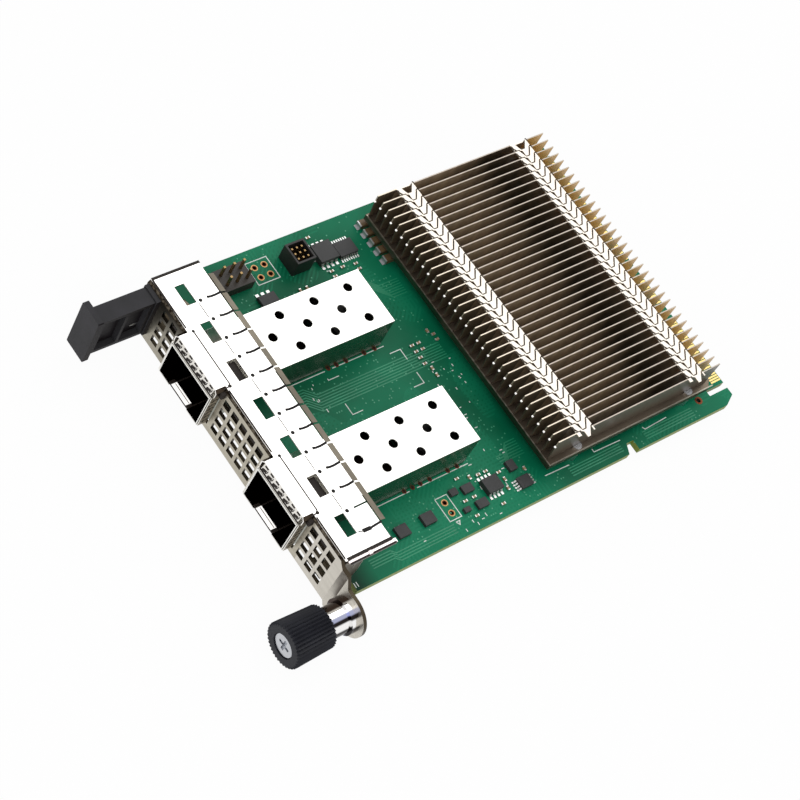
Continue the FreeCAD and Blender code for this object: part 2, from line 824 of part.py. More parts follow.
def make_top_shield():
    """The strip over the bracket's flange, with a hump over each port."""
    body = body_of("top_shield")
    under = "strip_top - strip_thick"
    profile = [("strip_front", under), ("strip_bend", under),
               ("strip_rear - strip_thick", f"{under} - strip_drop"),
               ("strip_rear", f"{under} - strip_drop"), ("strip_bend + strip_thick", "strip_top"),
               ("strip_front", "strip_top")]
    pad(body, "strip_sheet", "YZ", [profile], "-bracket_left", "strip_right")
    for side, middle in PORTS:
        half = f"({CAGE_HALF} + hump_side)"
        shell = [(f"{middle} - {half}", "hump_low"), (f"{middle} + {half}", "hump_low"),
                 (f"{middle} + {half}", "strip_top - bend_radius"),
                 (f"{middle} + {half} - bend_radius", "strip_top"),
                 (f"{middle} - {half} + bend_radius", "strip_top"),
                 (f"{middle} - {half}", "strip_top - bend_radius")]
        pad(body, f"hump_{side}", "XZ", [shell], "-hump_front", "strip_front + hump_lap")
        wall = f"({half} - strip_thick)"
        corner = "(bend_radius + hump_corner)"
        inside = [(f"{middle} - {wall}", "hump_low - 1"), (f"{middle} + {wall}", "hump_low - 1"),
                  (f"{middle} + {wall}", f"strip_top - {corner}"), (f"{middle} + {half} - {corner}", under),
                  (f"{middle} - {half} + {corner}", under), (f"{middle} - {wall}", f"strip_top - {corner}")]
        pocket(body, f"hump_inside_{side}", "XZ", [inside], "-hump_front", "strip_front + hump_lap + 0.1")
    pocket(body, "strip_windows", "XY", strip_windows(), "strip_top - 3", "strip_top + 1")
    slits = [rectangle(f"{x} - slit_wide / 2", f"{x} + slit_wide / 2", "slit_front", "strip_rear + 1")
             for x in slit_middles()]
    pocket(body, "strip_slits", "XY", slits, "strip_top - 3", "strip_top + 1")
    lip = rectangle("strip_right - 0.1", "strip_right + lip_radius * 2",
                    f"{under} - lip_radius * 2", under)
    pad(body, "strip_lip", "XZ", [lip], "lip_front", "strip_rear")
    dots = [(x, "dot_y", "dot_radius", SOME_SIDES) for x in slit_middles()]
    node(bored("strip_dots", body, dots, "strip_top - 1", "strip_top + 1"), "top_shield_fingers")


def make_side_clip():
    """The thin folded side of the shield, at the right end of the strip."""
    body = body_of("side_clip")
    low = "bracket_thick + clip_gap"
    top = "strip_top - strip_thick - lip_radius * 2 - clip_gap"
    outline = [(low, low), ("clip_foot", low), ("clip_belly_y", "clip_belly_z"),
               ("clip_waist_y", "clip_waist_z"), ("clip_top", top), (low, top)]
    pad(body, "clip_side", "YZ", [outline], "strip_right - strip_thick", "strip_right")
    node(body, "side_shield_clip")


# Transceiver cages

def cage_vents(middle):
    """Three rows of round vents along the cage, the middle row set forward."""
    vents = []
    for across in (-1, 0, 1):
        stagger = "0" if across else "cage_vent_stagger"
        for row in range(3):
            y = f"cage_vent_y + {row} * cage_vent_dy - {stagger}"
            vents.append((f"{middle} + {across} * cage_vent_dx", y, "cage_vent_radius", MANY_SIDES))
    return vents


def make_cage(side, middle):
    body = body_of(f"cage_{side}")
    left = f"{middle} - {CAGE_HALF}"
    right = f"{middle} + {CAGE_HALF}"
    pad(body, f"cage_shell_{side}", "XZ", [rectangle(left, right, "0", "cage_high")],
        "-cage_nose", "cage_rear")
    inner = rectangle(f"{left} + cage_wall", f"{right} - cage_wall", "cage_wall", "cage_high - cage_wall")
    pocket(body, f"cage_inside_{side}", "XZ", [inner], "-cage_nose", "cage_rear - cage_wall")
    host_hole = rectangle(f"{middle} - host_width / 2 - host_gap", f"{middle} + host_width / 2 + host_gap",
                          "host_front - host_gap", "host_front + host_long + host_gap")
    slots = []
    for sign in (-1, 1):
        near = f"{middle} + {sign} * tongue_wide / 2"
        far = f"{middle} + {sign} * (tongue_wide / 2 + tongue_gap)"
        low, high = (far, near) if sign < 0 else (near, far)
        slots.append(rectangle(low, high, "-cage_nose - 1", "tongue_long - cage_nose"))
    pocket(body, f"cage_floor_{side}", "XY", [host_hole] + slots, "-1", "cage_wall + 0.1")
    tip = rectangle(f"{middle} - tongue_wide / 2", f"{middle} + tongue_wide / 2",
                    "-cage_nose - 1", "tongue_short - cage_nose")
    pocket(body, f"cage_tongue_{side}", "XY", [tip], "-1", "cage_wall + 0.1")
    pins = []
    for x, y in cage_pin_places():
        if x.startswith(middle):
            pins.append(rectangle(f"{x} - cage_wall / 2", f"{x} + cage_wall / 2",
                                  f"{y} - pin_wide / 2", f"{y} + pin_wide / 2"))
    pad(body, f"cage_pins_{side}", "XY", pins, "-pin_long", "0.1")
    cage = bored(f"cage_vents_{side}", body, cage_vents(middle), "cage_high - 1", "cage_high + 1")
    node(cage, f"transceiver_cage_{side}")


def make_gasket(side, middle):
    """Spring fingers round the cage's nose: a sloped top and two upright sides."""
    body = body_of(f"gasket_{side}")
    inner = f"({CAGE_HALF} + gasket_gap)"
    outer = f"({CAGE_HALF} + gasket_gap + gasket_thick)"
    low = "cage_high + gasket_gap"
    walls = rectangle(f"{middle} - {outer}", f"{middle} + {outer}", "0", f"{low} + gasket_thick")
    hollow = rectangle(f"{middle} - {inner}", f"{middle} + {inner}", "-1", low)
    pad(body, f"gasket_hoop_{side}", "XZ", [walls], "-gasket_reach", "-gasket_back")
    pocket(body, f"gasket_hole_{side}", "XZ", [hollow], "-gasket_reach - 1", "0")
    crest = "strip_top - strip_thick - gasket_gap"
    slope = [("-gasket_reach", low), ("-gasket_reach + gasket_thick", low),
             ("-hump_front + gasket_thick * 2", crest), ("-hump_front + gasket_thick", crest)]
    pad(body, f"gasket_slope_{side}", "YZ", [slope], f"{middle} - {CAGE_HALF} + gasket_side",
        f"{middle} + {CAGE_HALF} - gasket_side")
    node(body, f"cage_gasket_{side}")


def make_host(side, middle):
    """Card-edge connector at the back of a cage, with two rows of contacts."""
    body = body_of(f"host_{side}")
    left = f"{middle} - host_width / 2"
    right = f"{middle} + host_width / 2"
    pad(body, f"host_block_{side}", "XZ", [rectangle(left, right, "0", "host_high")],
        "host_front", "host_front + host_long")
    slot = rectangle(f"{middle} - host_slot_wide / 2", f"{middle} + host_slot_wide / 2",
                     "host_slot_z", "host_slot_z + host_slot_high")
    pocket(body, f"host_slot_{side}", "XZ", [slot], "host_front", "host_front + host_slot_deep")
    node(body, f"host_connector_{side}")
    wide = number("host_contact_wide")
    high = number("host_contact_high")
    front = number("host_front + host_gap")
    rear = number("host_front + host_slot_deep")
    low = number("host_slot_z")
    top = number("host_slot_z + host_slot_high")
    strips = []
    for step in range(10):
        x = number(middle) + (step - 4.5) * number("host_pitch") - wide / 2
        strips.append(block(x, x + wide, front, rear, low, low + high))
        strips.append(block(x, x + wide, front, rear, top - high, top))
    node(shaped(f"host_strips_{side}", Part.makeCompound(strips)), f"host_contacts_{side}")


# Pull tab

def pull_screw_heights():
    return ["pull_screw_low", "pull_screw_low + pull_screw_pitch"]


def make_pull_tab():
    body = body_of("pull_tab")
    left = "pull_x - pull_width / 2"
    right = "pull_x + pull_width / 2"
    end_back = "-pull_reach + pull_end_thick"
    pad(body, "pull_shank", "XZ", [rectangle(left, right, "pull_low", "pull_high")],
        f"{end_back} - 0.1", "0")
    pad(body, "pull_end", "XZ", [rectangle("-pull_end_left", "-pull_end_right", "-pull_end_low",
                                           "pull_end_high")], "-pull_reach", end_back)
    pad(body, "pull_foot", "XZ",
        [rectangle(f"{left} - pull_root_lip", f"{right} + pull_root_lip",
                   "pull_low - pull_root_lip", "pull_high + pull_root_lip")], "-pull_root", "0")
    middle = f"({end_back} - pull_root) / 2"
    wings = (("left", left, "pull_x - pull_web / 2"), ("right", "pull_x + pull_web / 2", right))
    for side, low, high in wings:
        hollows = [rectangle(f"{end_back} + pull_wall", f"{middle} - pull_rib / 2",
                             "pull_low + pull_wall", "pull_high - pull_wall"),
                   rectangle(f"{middle} + pull_rib / 2", "-pull_root - pull_wall",
                             "pull_low + pull_wall", "pull_high - pull_wall")]
        pocket(body, f"pull_hollow_{side}", "YZ", hollows, low, high)
    round_edges(body, "pull_round", "pull_root_lip", is_pull_corner)
    bores = [rod(f"pull_bore_{index}", "pull_x", z, "pull_screw_radius + hole_gap / 2", "-pull_screw_deep",
                 "1", SOME_SIDES) for index, z in enumerate(pull_screw_heights())]
    node(cut("pull_bored", body, group("pull_bores", bores)), "pull_tab")


def is_pull_corner(edge):
    """The four long edges of the end plate along Y."""
    box_of = edge.BoundBox
    at_end = box_of.YMin < number("-pull_reach") + 0.01
    return at_end and abs(box_of.YLength - number("pull_end_thick")) < 0.01


def make_pull_screws():
    screws = []
    for index, z in enumerate(pull_screw_heights()):
        head = rod(f"pull_head_{index}", "pull_x", z, "pull_screw_head", FACE_BACK,
                   f"{FACE_BACK} + pull_screw_high", MANY_SIDES)
        shank = rod(f"pull_shank_{index}", "pull_x", z, "pull_screw_radius", "-pull_screw_deep + hole_gap",
                    f"{FACE_BACK} + pull_screw_high / 2", SOME_SIDES)
        screws.append(fuse(f"pull_screw_{index}", [head, shank]))
    node(group("pull_screw_pair", screws), "pull_tab_screws")


# Captive thumbscrew; these pieces are drawn about their own Y axis

THUMB_PLACE = ("thumb_x", "0", "thumb_z")


def make_sleeve():
    """Chromed sleeve, clinched through the bracket's ear."""
    body = body_of("sleeve")
    floor = f"{EAR_FRONT} - sleeve_floor"
    lip_back = "-sleeve_front + sleeve_lip"
    turn(body, "sleeve_turned", [
        ("sleeve_lip_bore", "-sleeve_front"), ("sleeve_radius", "-sleeve_front"),
        ("sleeve_radius", "-collar_front"), ("collar_radius", "-collar_front"),
        ("collar_radius", EAR_FRONT), ("spigot_radius - hole_gap / 2", EAR_FRONT),
        ("spigot_radius - hole_gap / 2", EAR_BACK), ("sleeve_floor_bore", EAR_BACK),
        ("sleeve_floor_bore", floor), ("sleeve_bore", floor), ("sleeve_bore", lip_back),
        ("sleeve_lip_bore", lip_back)])
    node(body, "thumbscrew_sleeve", THUMB_PLACE)


def knob_rim(radius, y):
    """The fluted outline of the knob at one place along its axis."""
    count = int(number("flute_count"))
    root = radius - number("flute_depth")
    points = []
    for step in range(2 * count):
        angle = pi * step / count
        reach = root if step % 2 else radius
        points.append(Vector(reach * cos(angle), y, reach * sin(angle)))
    return Part.makePolygon(points + points[:1])


def along_y(radius, front, rear):
    """A plain cylinder along Y, from numbers."""
    return Part.makeCylinder(radius, rear - front, Vector(0, front, 0), Vector(0, 1, 0))


def make_knob():
    """Fluted knob, hollow at the rear so that it slides over the sleeve."""
    front = number("-knob_front")
    edge = number("knob_edge")
    rear = number("-knob_rear")
    wide = number("knob_radius")
    rims = [knob_rim(wide - edge, front), knob_rim(wide, front + edge),
            knob_rim(wide - number("knob_taper"), rear)]
    solid = Part.makeLoft(rims, True, True)
    seat = along_y(number("screw_head + screw_head_gap"), front,
                   front + number("knob_recess + screw_head_high"))
    through = along_y(number("screw_radius + hole_gap / 2"), front, rear)
    hollow = along_y(number("knob_bore"), front + number("knob_wall"), rear)
    knob = solid.cut(seat.fuse([through, hollow]))
    node(shaped("knob_moulding", Part.makeCompound(knob.Solids)), "thumbscrew_knob", THUMB_PLACE)


def make_thumb_screw():
    """The captive screw, with a cross recess in its head and a collar behind the sleeve's lip."""
    body = body_of("thumb_screw")
    head_front = "-knob_front + knob_recess"
    head_back = f"{head_front} + screw_head_high - screw_collar_gap"
    collar_front = "-sleeve_front + sleeve_lip + screw_collar_gap"
    turn(body, "screw_turned", [
        ("0", head_front), ("screw_head", head_front), ("screw_head", head_back),
        ("screw_radius", head_back), ("screw_radius", collar_front), ("screw_collar", collar_front),
        ("screw_collar", f"{collar_front} + screw_collar_long"),
        ("screw_radius", f"{collar_front} + screw_collar_long"),
        ("screw_radius", "screw_tip - 0.4"), ("screw_radius - 0.4", "screw_tip"), ("0", "screw_tip")])
    arm = "recess_long / 2"
    half = "recess_wide / 2"
    cross = [(f"-{arm}", f"-{half}"), (f"-{half}", f"-{half}"), (f"-{half}", f"-{arm}"),
             (half, f"-{arm}"), (half, f"-{half}"), (arm, f"-{half}"), (arm, half), (half, half),
             (half, arm), (f"-{half}", arm), (f"-{half}", half), (f"-{arm}", half)]
    pocket(body, "screw_recess", "XZ", [cross], head_front, f"{head_front} + recess_deep")
    node(body, "thumbscrew_screw", THUMB_PLACE)


def coil_rings():
    """Outlines of the wire at each step along the coil, from the screw's collar to the sleeve's floor."""
    wire = number("spring_wire")
    radius = number("spring_radius")
    steps = int(number("spring_steps"))
    sides = int(number("spring_sides"))
    front = number("-sleeve_front + sleeve_lip + screw_collar_gap + screw_collar_long + spring_gap") + wire
    rear = number(f"{EAR_FRONT} - sleeve_floor - spring_gap") - wire
    count = int(number("spring_turns")) * steps
    rings = []
    for step in range(count + 1):
        angle = 2 * pi * step / steps
        y = front + (rear - front) * step / count
        ring = []
        for side in range(sides):
            turned = 2 * pi * side / sides
            out = radius + wire * cos(turned)
            ring.append(Vector(out * cos(angle), y + wire * sin(turned), out * sin(angle)))
        rings.append(ring)
    return rings


def make_spring():
    """Return spring between the screw's collar and the sleeve's floor."""
    rings = coil_rings()
    sides = len(rings[0])
    outlines = [rings[0], rings[-1]]
    for near, far in zip(rings, rings[1:]):
        for side in range(sides):
            after = (side + 1) % sides
            outlines.append([near[side], near[after], far[after]])
            outlines.append([near[side], far[after], far[side]])
    faces = [Part.Face(Part.makePolygon(outline + outline[:1])) for outline in outlines]
    shell = Part.Shell(faces)
    shell.sewShape()
    coil = Part.Solid(shell)
    if coil.Volume < 0:
        coil.reverse()
    node(shaped("spring_coil", coil), "thumbscrew_spring", THUMB_PLACE)


# Heatsink

def make_heatsink_base():
    body = body_of("sink_base")
    corner = "base_corner"
    outline = [("-sink_left", "sink_front"), ("sink_right", "sink_front"),
               ("sink_right", f"sink_rear - {corner}"), (f"sink_right - {corner}", "sink_rear"),
               (f"-sink_left + {corner}", "sink_rear"), ("-sink_left", f"sink_rear - {corner}")]
    pad(body, "base_plate", "XY", [outline], "sink_low", BASE_TOP)
    holes = [(x, y, "post_neck + hole_gap / 2", FEW_SIDES) for x, y in post_places()]
    node(bored("base_holes", body, holes, "sink_low - 1", f"{BASE_TOP} + 1"), "heatsink_base")


def fin_tab(x, start):
    """A top tab: two arms from the fold, joined in a tongue that crosses the next fin."""
    pitch = number("fin_pitch")
    gap = number("fin_gap")
    top = number("fin_top")
    thick = number("fin_thick")
    long = number("band_long")
    near = pitch - gap
    arm, bend, front, rear = (number(name) for name in ("tab_arm", "tab_bend", "tab_front", "tab_rear"))
    slit, reach, heel, inner = (number(name) for name in ("tab_slit", "tab_reach", "tab_heel", "tab_inner"))
    outline = [
        (0, 0), (near, 0), (near, arm), (pitch + thick + gap, front), (reach, front), (reach, rear),
        (near, slit), (heel, long), (0, long), (0, slit + gap), (inner + gap, rear + gap),
        (inner + gap, bend + gap), (0, arm + gap)]
    points = [Vector(x + across, start + along, top - thick) for across, along in outline]
    return prism(points, Vector(0, 0, thick))


def make_fin(x, last):
    """One stamped fin: an upright plate soldered to the base, with two zipper tabs on top.

    The last fin is notched over the heads of the posts.
    """
    thick = number("fin_thick")
    gap = number("fin_gap")
    top = number("fin_top")
    low = number(BASE_TOP)
    front = number("fin_front")
    rear = number("fin_rear")
    long = number("band_long")
    step = top - thick - gap
    profile = [(front + number("fin_lean"), low), (front, number("fin_break")), (front, top)]
    for start in (number("band_first"), number("band_second")):
        notch_front = start + number("tab_arm")
        notch_rear = start + number("tab_slit") + gap
        profile += [(notch_front, top), (notch_front, step), (notch_rear, step), (notch_rear, top)]
    profile += [(rear, top), (rear, low)]
    if last:
        clear = number("post_head") + gap
        over = low + number("post_head_high") + gap
        for middle in (number("post_rear"), number("post_front")):
            profile += [(middle + clear, low), (middle + clear, over),
                        (middle - clear, over), (middle - clear, low)]
    plate = prism([Vector(x, y, z) for y, z in profile], Vector(thick, 0, 0))
    starts = (number("band_first"), number("band_second"))
    if last:
        reach = x + number("last_tab")
        spans = [(0, number("tab_arm")), (number("tab_slit") + gap, long)]
        tabs = [block(x, reach, start + near, start + far, top - thick, top)
                for start in starts for near, far in spans]
    else:
        tabs = [fin_tab(x, start) for start in starts]
    return plate.fuse(tabs).removeSplitter()


def make_fins():
    first = number("fin_first")
    pitch = number("fin_pitch")
    count = int(number("fin_count"))
    fins = [make_fin(first + step * pitch, step == count - 1) for step in range(count)]
    node(shaped("fin_stack", Part.makeCompound(fins)), "heatsink_fins")


def make_heatsink_posts():
    """Posts between board and base, each held by a screw from below the board."""
    posts = []
    screws = []
    for index, (x, y) in enumerate(post_places()):
        stem = post(f"post_stem_{index}", x, y, "post_radius", "0", "sink_low", FEW_SIDES)
        neck_top = f"{BASE_TOP} + post_head_high / 2" if x == "post_right" else BASE_TOP
        pieces = [stem, post(f"post_neck_{index}", x, y, "post_neck", "sink_low / 2", neck_top, FEW_SIDES)]
        if x == "post_right":
            pieces.append(post(f"post_head_{index}", x, y, "post_head", BASE_TOP,
                               f"{BASE_TOP} + post_head_high", MANY_SIDES))
        bore = post(f"post_bore_{index}", x, y, "post_bore", "-1", "post_screw_deep + hole_gap", FEW_SIDES)
        posts.append(cut(f"post_{index}", fuse(f"post_solid_{index}", pieces), bore))
        head = post(f"post_screw_head_{index}", x, y, "post_screw_head", f"{BOARD_LOW} - post_screw_high",
                    BOARD_LOW, SOME_SIDES)
        shank = post(f"post_screw_shank_{index}", x, y, "post_screw", f"{BOARD_LOW} - post_screw_high / 2",
                     "post_screw_deep", FEW_SIDES)
        screws.append(fuse(f"post_screw_{index}", [head, shank]))
    node(group("post_group", posts), "heatsink_posts")
    node(group("post_screw_group", screws), "heatsink_screws")


def make_processor():
    half = "chip_side / 2"
    chip = box("processor_block", (f"chip_x - {half}", f"chip_x + {half}"),
               (f"chip_y - {half}", f"chip_y + {half}"), ("0", "chip_high"))
    node(chip, "network_processor", (f"chip_x - {half}", f"chip_y - {half}", "0"))
    inset = f"({half} - pad_inset)"
    thermal = box("thermal_block", (f"chip_x - {inset}", f"chip_x + {inset}"),
                  (f"chip_y - {inset}", f"chip_y + {inset}"), ("chip_high", "sink_low"))
    node(thermal, "thermal_pad", (f"chip_x - {inset}", f"chip_y - {inset}", "chip_high"))


# Connectors and parts on the board

def pin_rows(middle_x, middle_y, pitch, across, along, side, low, high):
    """A grid of square pins."""
    pins = []
    for column in range(across):
        for row in range(along):
            x = middle_x + (column - (across - 1) / 2) * pitch
            y = middle_y + (row - (along - 1) / 2) * pitch
            pins.append(block(x - side / 2, x + side / 2, y - side / 2, y + side / 2, low, high))
    return Part.makeCompound(pins)


def make_header():
    """Pin header: a moulded block with two rows of square pins standing in it."""
    body = body_of("header")
    half = "header_width / 2"
    outline = rectangle(f"header_x - {half}", f"header_x + {half}",
                        "header_y - header_long / 2", "header_y + header_long / 2")
    pad(body, "header_mould", "XY", [outline], "0", "header_high")
    holes = []
    for column in (-0.5, 0.5):
        for row in (-1, 0, 1):
            x = f"header_x + {column} * header_pitch"
            y = f"header_y + {row} * header_pitch"
            side = "header_pin / 2"
            holes.append(rectangle(f"{x} - {side}", f"{x} + {side}", f"{y} - {side}", f"{y} + {side}"))
    pocket(body, "header_holes", "XY", holes, "-1", "header_high + 1")
    node(body, "header_block")
    pins = pin_rows(number("header_x"), number("header_y"), number("header_pitch"), 2, 3,
                    number("header_pin"), 0.0, number("header_pin_high"))
    node(shaped("header_pin_grid", pins), "header_pins")


def make_box_connector():
    body = body_of("box_connector")
    half_x = "box_width / 2"
    half_y = "box_long / 2"
    pad(body, "box_mould", "XY", [rectangle(f"box_x - {half_x}", f"box_x + {half_x}",
                                            f"box_y - {half_y}", f"box_y + {half_y}")], "0", "box_high")
    inside = rectangle(f"box_x - {half_x} + box_wall", f"box_x + {half_x} - box_wall",
                       f"box_y - {half_y} + box_wall", f"box_y + {half_y} - box_wall")
    pocket(body, "box_inside", "XY", [inside], "box_high - box_deep", "box_high + 1")
    node(body, "box_connector")
    pins = pin_rows(number("box_x"), number("box_y"), number("box_pitch"), 3, 3, number("box_pin"),
                    number("box_high - box_deep"), number("box_pin_high"))
    node(shaped("box_pin_grid", pins), "box_connector_pins")


def lead(start, away, along, wide, high):
    """A gull-wing lead from the package's side, along a direction away from it."""
    thick = number("lead_thick")
    reach = number("lead_reach")
    knee = number("lead_knee")
    shape = [(0, high), (knee, thick), (reach, thick), (reach, 0), (knee - thick, 0), (0, high - thick)]
    points = [start + away * out + Vector(0, 0, up) - along * (wide / 2) for out, up in shape]
    return prism(points, along * wide)


def make_chips():
    leads = []
    for label, (x, y, width, length, high, count, side) in CHIPS.items():
        half = (width / 2, length / 2)
        foot = number("lead_lift") if count else 0.0
        shape = block(x - half[0], x + half[0], y - half[1], y + half[1], foot, high)
        node(shaped(label + "_package", shape), label)
        away, along = Vector(1, 0, 0), Vector(0, 1, 0)
        if side != "x":
            away, along = along, away
        reach = half[0] if side == "x" else half[1]
        pitch = (length if side == "x" else width) / max(count, 1)
        for step in range(count):
            shift = along * ((step - (count - 1) / 2) * pitch)
            for sign in (-1, 1):
                start = Vector(x, y, 0) + shift + away * (sign * reach)
                leads.append(lead(start, away * sign, along, pitch * number("lead_share"), high / 2))
    node(shaped("lead_rows", Part.makeCompound(leads)), "chip_leads")
    chips = [block(x - width / 2, x + width / 2, y - length / 2, y + length / 2, 0.0, high)
             for x, y, width, length, high in SMALL_CHIPS]
    node(shaped("small_chip_blocks", Part.makeCompound(chips)), "small_chips")


def make_capacitors():
    wide = number("capacitor_wide")
    front = number("capacitor_front")
    rear = front + number("capacitor_long")
    blocks = []
    for step in range(5):
        x = number("capacitor_first") + step * number("capacitor_pitch")
        blocks.append(block(x - wide / 2, x + wide / 2, front, rear, 0.0, number("capacitor_high")))
    node(shaped("capacitor_blocks", Part.makeCompound(blocks)), "ceramic_capacitors")


def make_small_parts():
    long = number("small_long")
    wide = number("small_wide")
    high = number("small_high")
    blocks = []
    for x, y, along_y in SMALL_PARTS:
        half_x, half_y = (wide / 2, long / 2) if along_y else (long / 2, wide / 2)
        blocks.append(block(x - half_x, x + half_x, y - half_y, y + half_y, 0.0, high))
    node(shaped("small_blocks", Part.makeCompound(blocks)), "small_parts")


# Underside

def make_insulator():
    """Insulating sheet below the board, held off it by spacers and push rivets."""
    body = body_of("insulator")
    pad(body, "insulator_sheet", "XY",
        [rectangle("-insulator_half", "insulator_half", "insulator_front", "insulator_rear")],
        SHEET_LOW, SHEET_TOP)
    holes = [(x, y, "rivet_radius + hole_gap", SOME_SIDES) for x, y in rivet_places()]
    node(bored("insulator_holes", body, holes, f"{SHEET_LOW} - 1", f"{SHEET_TOP} + 1"), "bottom_insulator")
    spacers = []
    rivets = []
    for index, (x, y) in enumerate(rivet_places()):
        tube = post(f"spacer_tube_{index}", x, y, "spacer_radius", SHEET_TOP, BOARD_LOW, FEW_SIDES)
        bore = post(f"spacer_bore_{index}", x, y, "rivet_radius + hole_gap",
                    f"{SHEET_TOP} - 1", "1", SOME_SIDES)
        spacers.append(cut(f"spacer_{index}", tube, bore))
        head = post(f"rivet_head_{index}", x, y, "rivet_head", REST_LOW, SHEET_LOW, MANY_SIDES)
        shank = post(f"rivet_shank_{index}", x, y, "rivet_radius", f"{REST_LOW} / 2 + {SHEET_LOW} / 2", "0.1",
                     SOME_SIDES)
        cap = post(f"rivet_cap_{index}", x, y, "rivet_radius + 2 * hole_gap", "0", "rivet_cap", SOME_SIDES)
        rivets.append(fuse(f"rivet_{index}", [head, shank, cap]))
    node(group("spacer_group", spacers), "insulator_spacers")
    node(group("rivet_group", rivets), "insulator_rivets")


def build():
    fill_sheet()
    make_board()
    make_edge_contacts()
    make_faceplate()
    make_bracket_screws()
    make_top_shield()
    make_side_clip()
    for side, middle in PORTS:
        make_cage(side, middle)
        make_gasket(side, middle)
        make_host(side, middle)
    make_pull_tab()
    make_pull_screws()
    make_sleeve()
    make_knob()
    make_thumb_screw()
    make_spring()
    make_heatsink_base()
    make_fins()
    make_heatsink_posts()
    make_processor()
    make_header()
    make_box_connector()
    make_chips()
    make_capacitors()
    make_small_parts()
    make_insulator()
    doc.recompute()


def check():
    """Stop on a failed object or an empty or broken shape."""
    for item in doc.Objects:
        if "Invalid" in item.State or "Error" in item.State:
            raise RuntimeError(f"{item.Name} failed: {item.State}")
    for item in nodes:
        if item.Shape.isNull() or not item.Shape.isValid() or not item.Shape.Solids:
            raise RuntimeError(f"{item.Label} has no valid shape")


def export():
    os.makedirs("parts", exist_ok=True)
    for item in nodes:
        item.Shape.exportStep(os.path.join("parts", item.Label + ".step"))
        print(f"{item.Label}: {len(item.Shape.Solids)} solids, {item.Shape.Volume:.2f} mm3")


build()
check()
export()
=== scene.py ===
import math
import random

import bpy
from mathutils import Matrix, Vector


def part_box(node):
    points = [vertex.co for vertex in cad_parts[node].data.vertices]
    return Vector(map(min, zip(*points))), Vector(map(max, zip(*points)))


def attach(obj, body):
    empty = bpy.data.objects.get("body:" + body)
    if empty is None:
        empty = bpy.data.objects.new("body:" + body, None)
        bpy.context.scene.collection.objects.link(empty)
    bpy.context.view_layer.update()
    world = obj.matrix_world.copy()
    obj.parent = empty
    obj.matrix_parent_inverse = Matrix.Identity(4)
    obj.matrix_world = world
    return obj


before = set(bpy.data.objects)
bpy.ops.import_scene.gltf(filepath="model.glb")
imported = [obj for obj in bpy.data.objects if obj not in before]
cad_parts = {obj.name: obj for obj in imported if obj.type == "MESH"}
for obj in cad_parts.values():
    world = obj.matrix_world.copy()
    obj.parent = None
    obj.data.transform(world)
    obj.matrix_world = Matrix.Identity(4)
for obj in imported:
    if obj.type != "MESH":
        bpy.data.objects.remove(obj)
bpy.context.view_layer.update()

# Looks of a mezzanine network card. Places below are given in millimetres in the board frame:
# X = 0 midway across the board, Y = 0 on the bracket's front, Z = 0 on top of the board.

MM = 0.001
X, Y, Z = range(3)
BOARD_LENGTH = 115.2
BOARD_LOW, BOARD_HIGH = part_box("circuit_board")
ORIGIN = Vector(((BOARD_LOW[X] + BOARD_HIGH[X]) / 2, BOARD_HIGH[Y] - BOARD_LENGTH * MM, BOARD_HIGH[Z]))


def at(x, y, z=0.0):
    """A place in the board frame, in the scene's metres."""
    return ORIGIN + Vector((x, y, z)) * MM


def span(name):
    """Low and high corner of a node's box, in the board frame."""
    return [(Vector(corner) - ORIGIN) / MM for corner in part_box(name)]


def middle_x(name):
    """Middle of a node along X, in the board frame."""
    low, high = span(name)
    return (low.x + high.x) / 2


# Cages: the limits of their inside lie within the sheet of the walls, floor and ceiling
PORT_MIDDLES = (middle_x("transceiver_cage_left"), middle_x("transceiver_cage_right"))
CAGE_LOW, CAGE_HIGH = span("transceiver_cage_left")
CAGE_INNER = (CAGE_HIGH.x - CAGE_LOW.x) / 2 - 0.18
CAGE_LOWEST = 0.15
CAGE_CEILING = CAGE_HIGH.z - 0.28
CAGE_MOUTH = CAGE_LOW.y + 0.04

# Gaskets: half their width, and the line of their sloped top in Y and Z
GASKET_HALF = span("cage_gasket_right")[1].x - PORT_MIDDLES[1]
GASKET_FOOT = (-2.34, 9.72)
GASKET_RISE = (0.56, 2.05)

# Thumbscrew: where its axis is in X and Z
THUMB_AXIS = (41.3, 1.2)

# Bracket: the right block lit brighter with painted light, the left block with painted shade, and the
# painted dark reflection along the top bend
BRACKET_BRIGHT_FROM = 26.0
BRACKET_SHADED_TO = -20.0
BRACKET_HEIGHT = 12.0
BRACKET_RIM = 11.4

# Board: the shaded patch under the strip's right end, and the area that has drilled holes
SHADED_FROM = 31.0
SHADED_REACH = 20.0
DRILLED_X = (-35.5, 35.5)
DRILLED_Y = (4.0, 110.0)

# Heatsink fins: their pitch, the two bands of interlocked tabs, the painted dark reflection on their sides,
# where their golden rear ends start, and the height of the beads on their front edges
FIN_LOW, FIN_HIGH = span("heatsink_fins")
FIN_FIRST = FIN_LOW.x
FIN_PITCH = 1.9924
FIN_COUNT = 34
BAND_STARTS = (64.45, 97.6)
BAND_LONG = 4.7
REFLECTION_MIDDLE = 93.5
REFLECTION_REACH = 16.0
GOLDEN_FROM = 102.4
BEAD_HEIGHT = 9.1

# Top strip: its height, its left end, its right end at the side clip, its slits, its rear slopes,
# and how deep its dark lines are let in
STRIP_TOP = span("top_shield_fingers")[1].z
STRIP_LEFT = span("top_shield_fingers")[0].x
STRIP_RIGHT = span("side_shield_clip")[1].x
SLIT_FIRST = -25.8
SLIT_PITCH = 4.73
SLIT_MIDDLES = [SLIT_FIRST + SLIT_PITCH * step for step in range(12)]
TAILS_FROM, TAILS_TO = -30.8, 30.9
TAIL_START = 12.2
SINK = 0.03

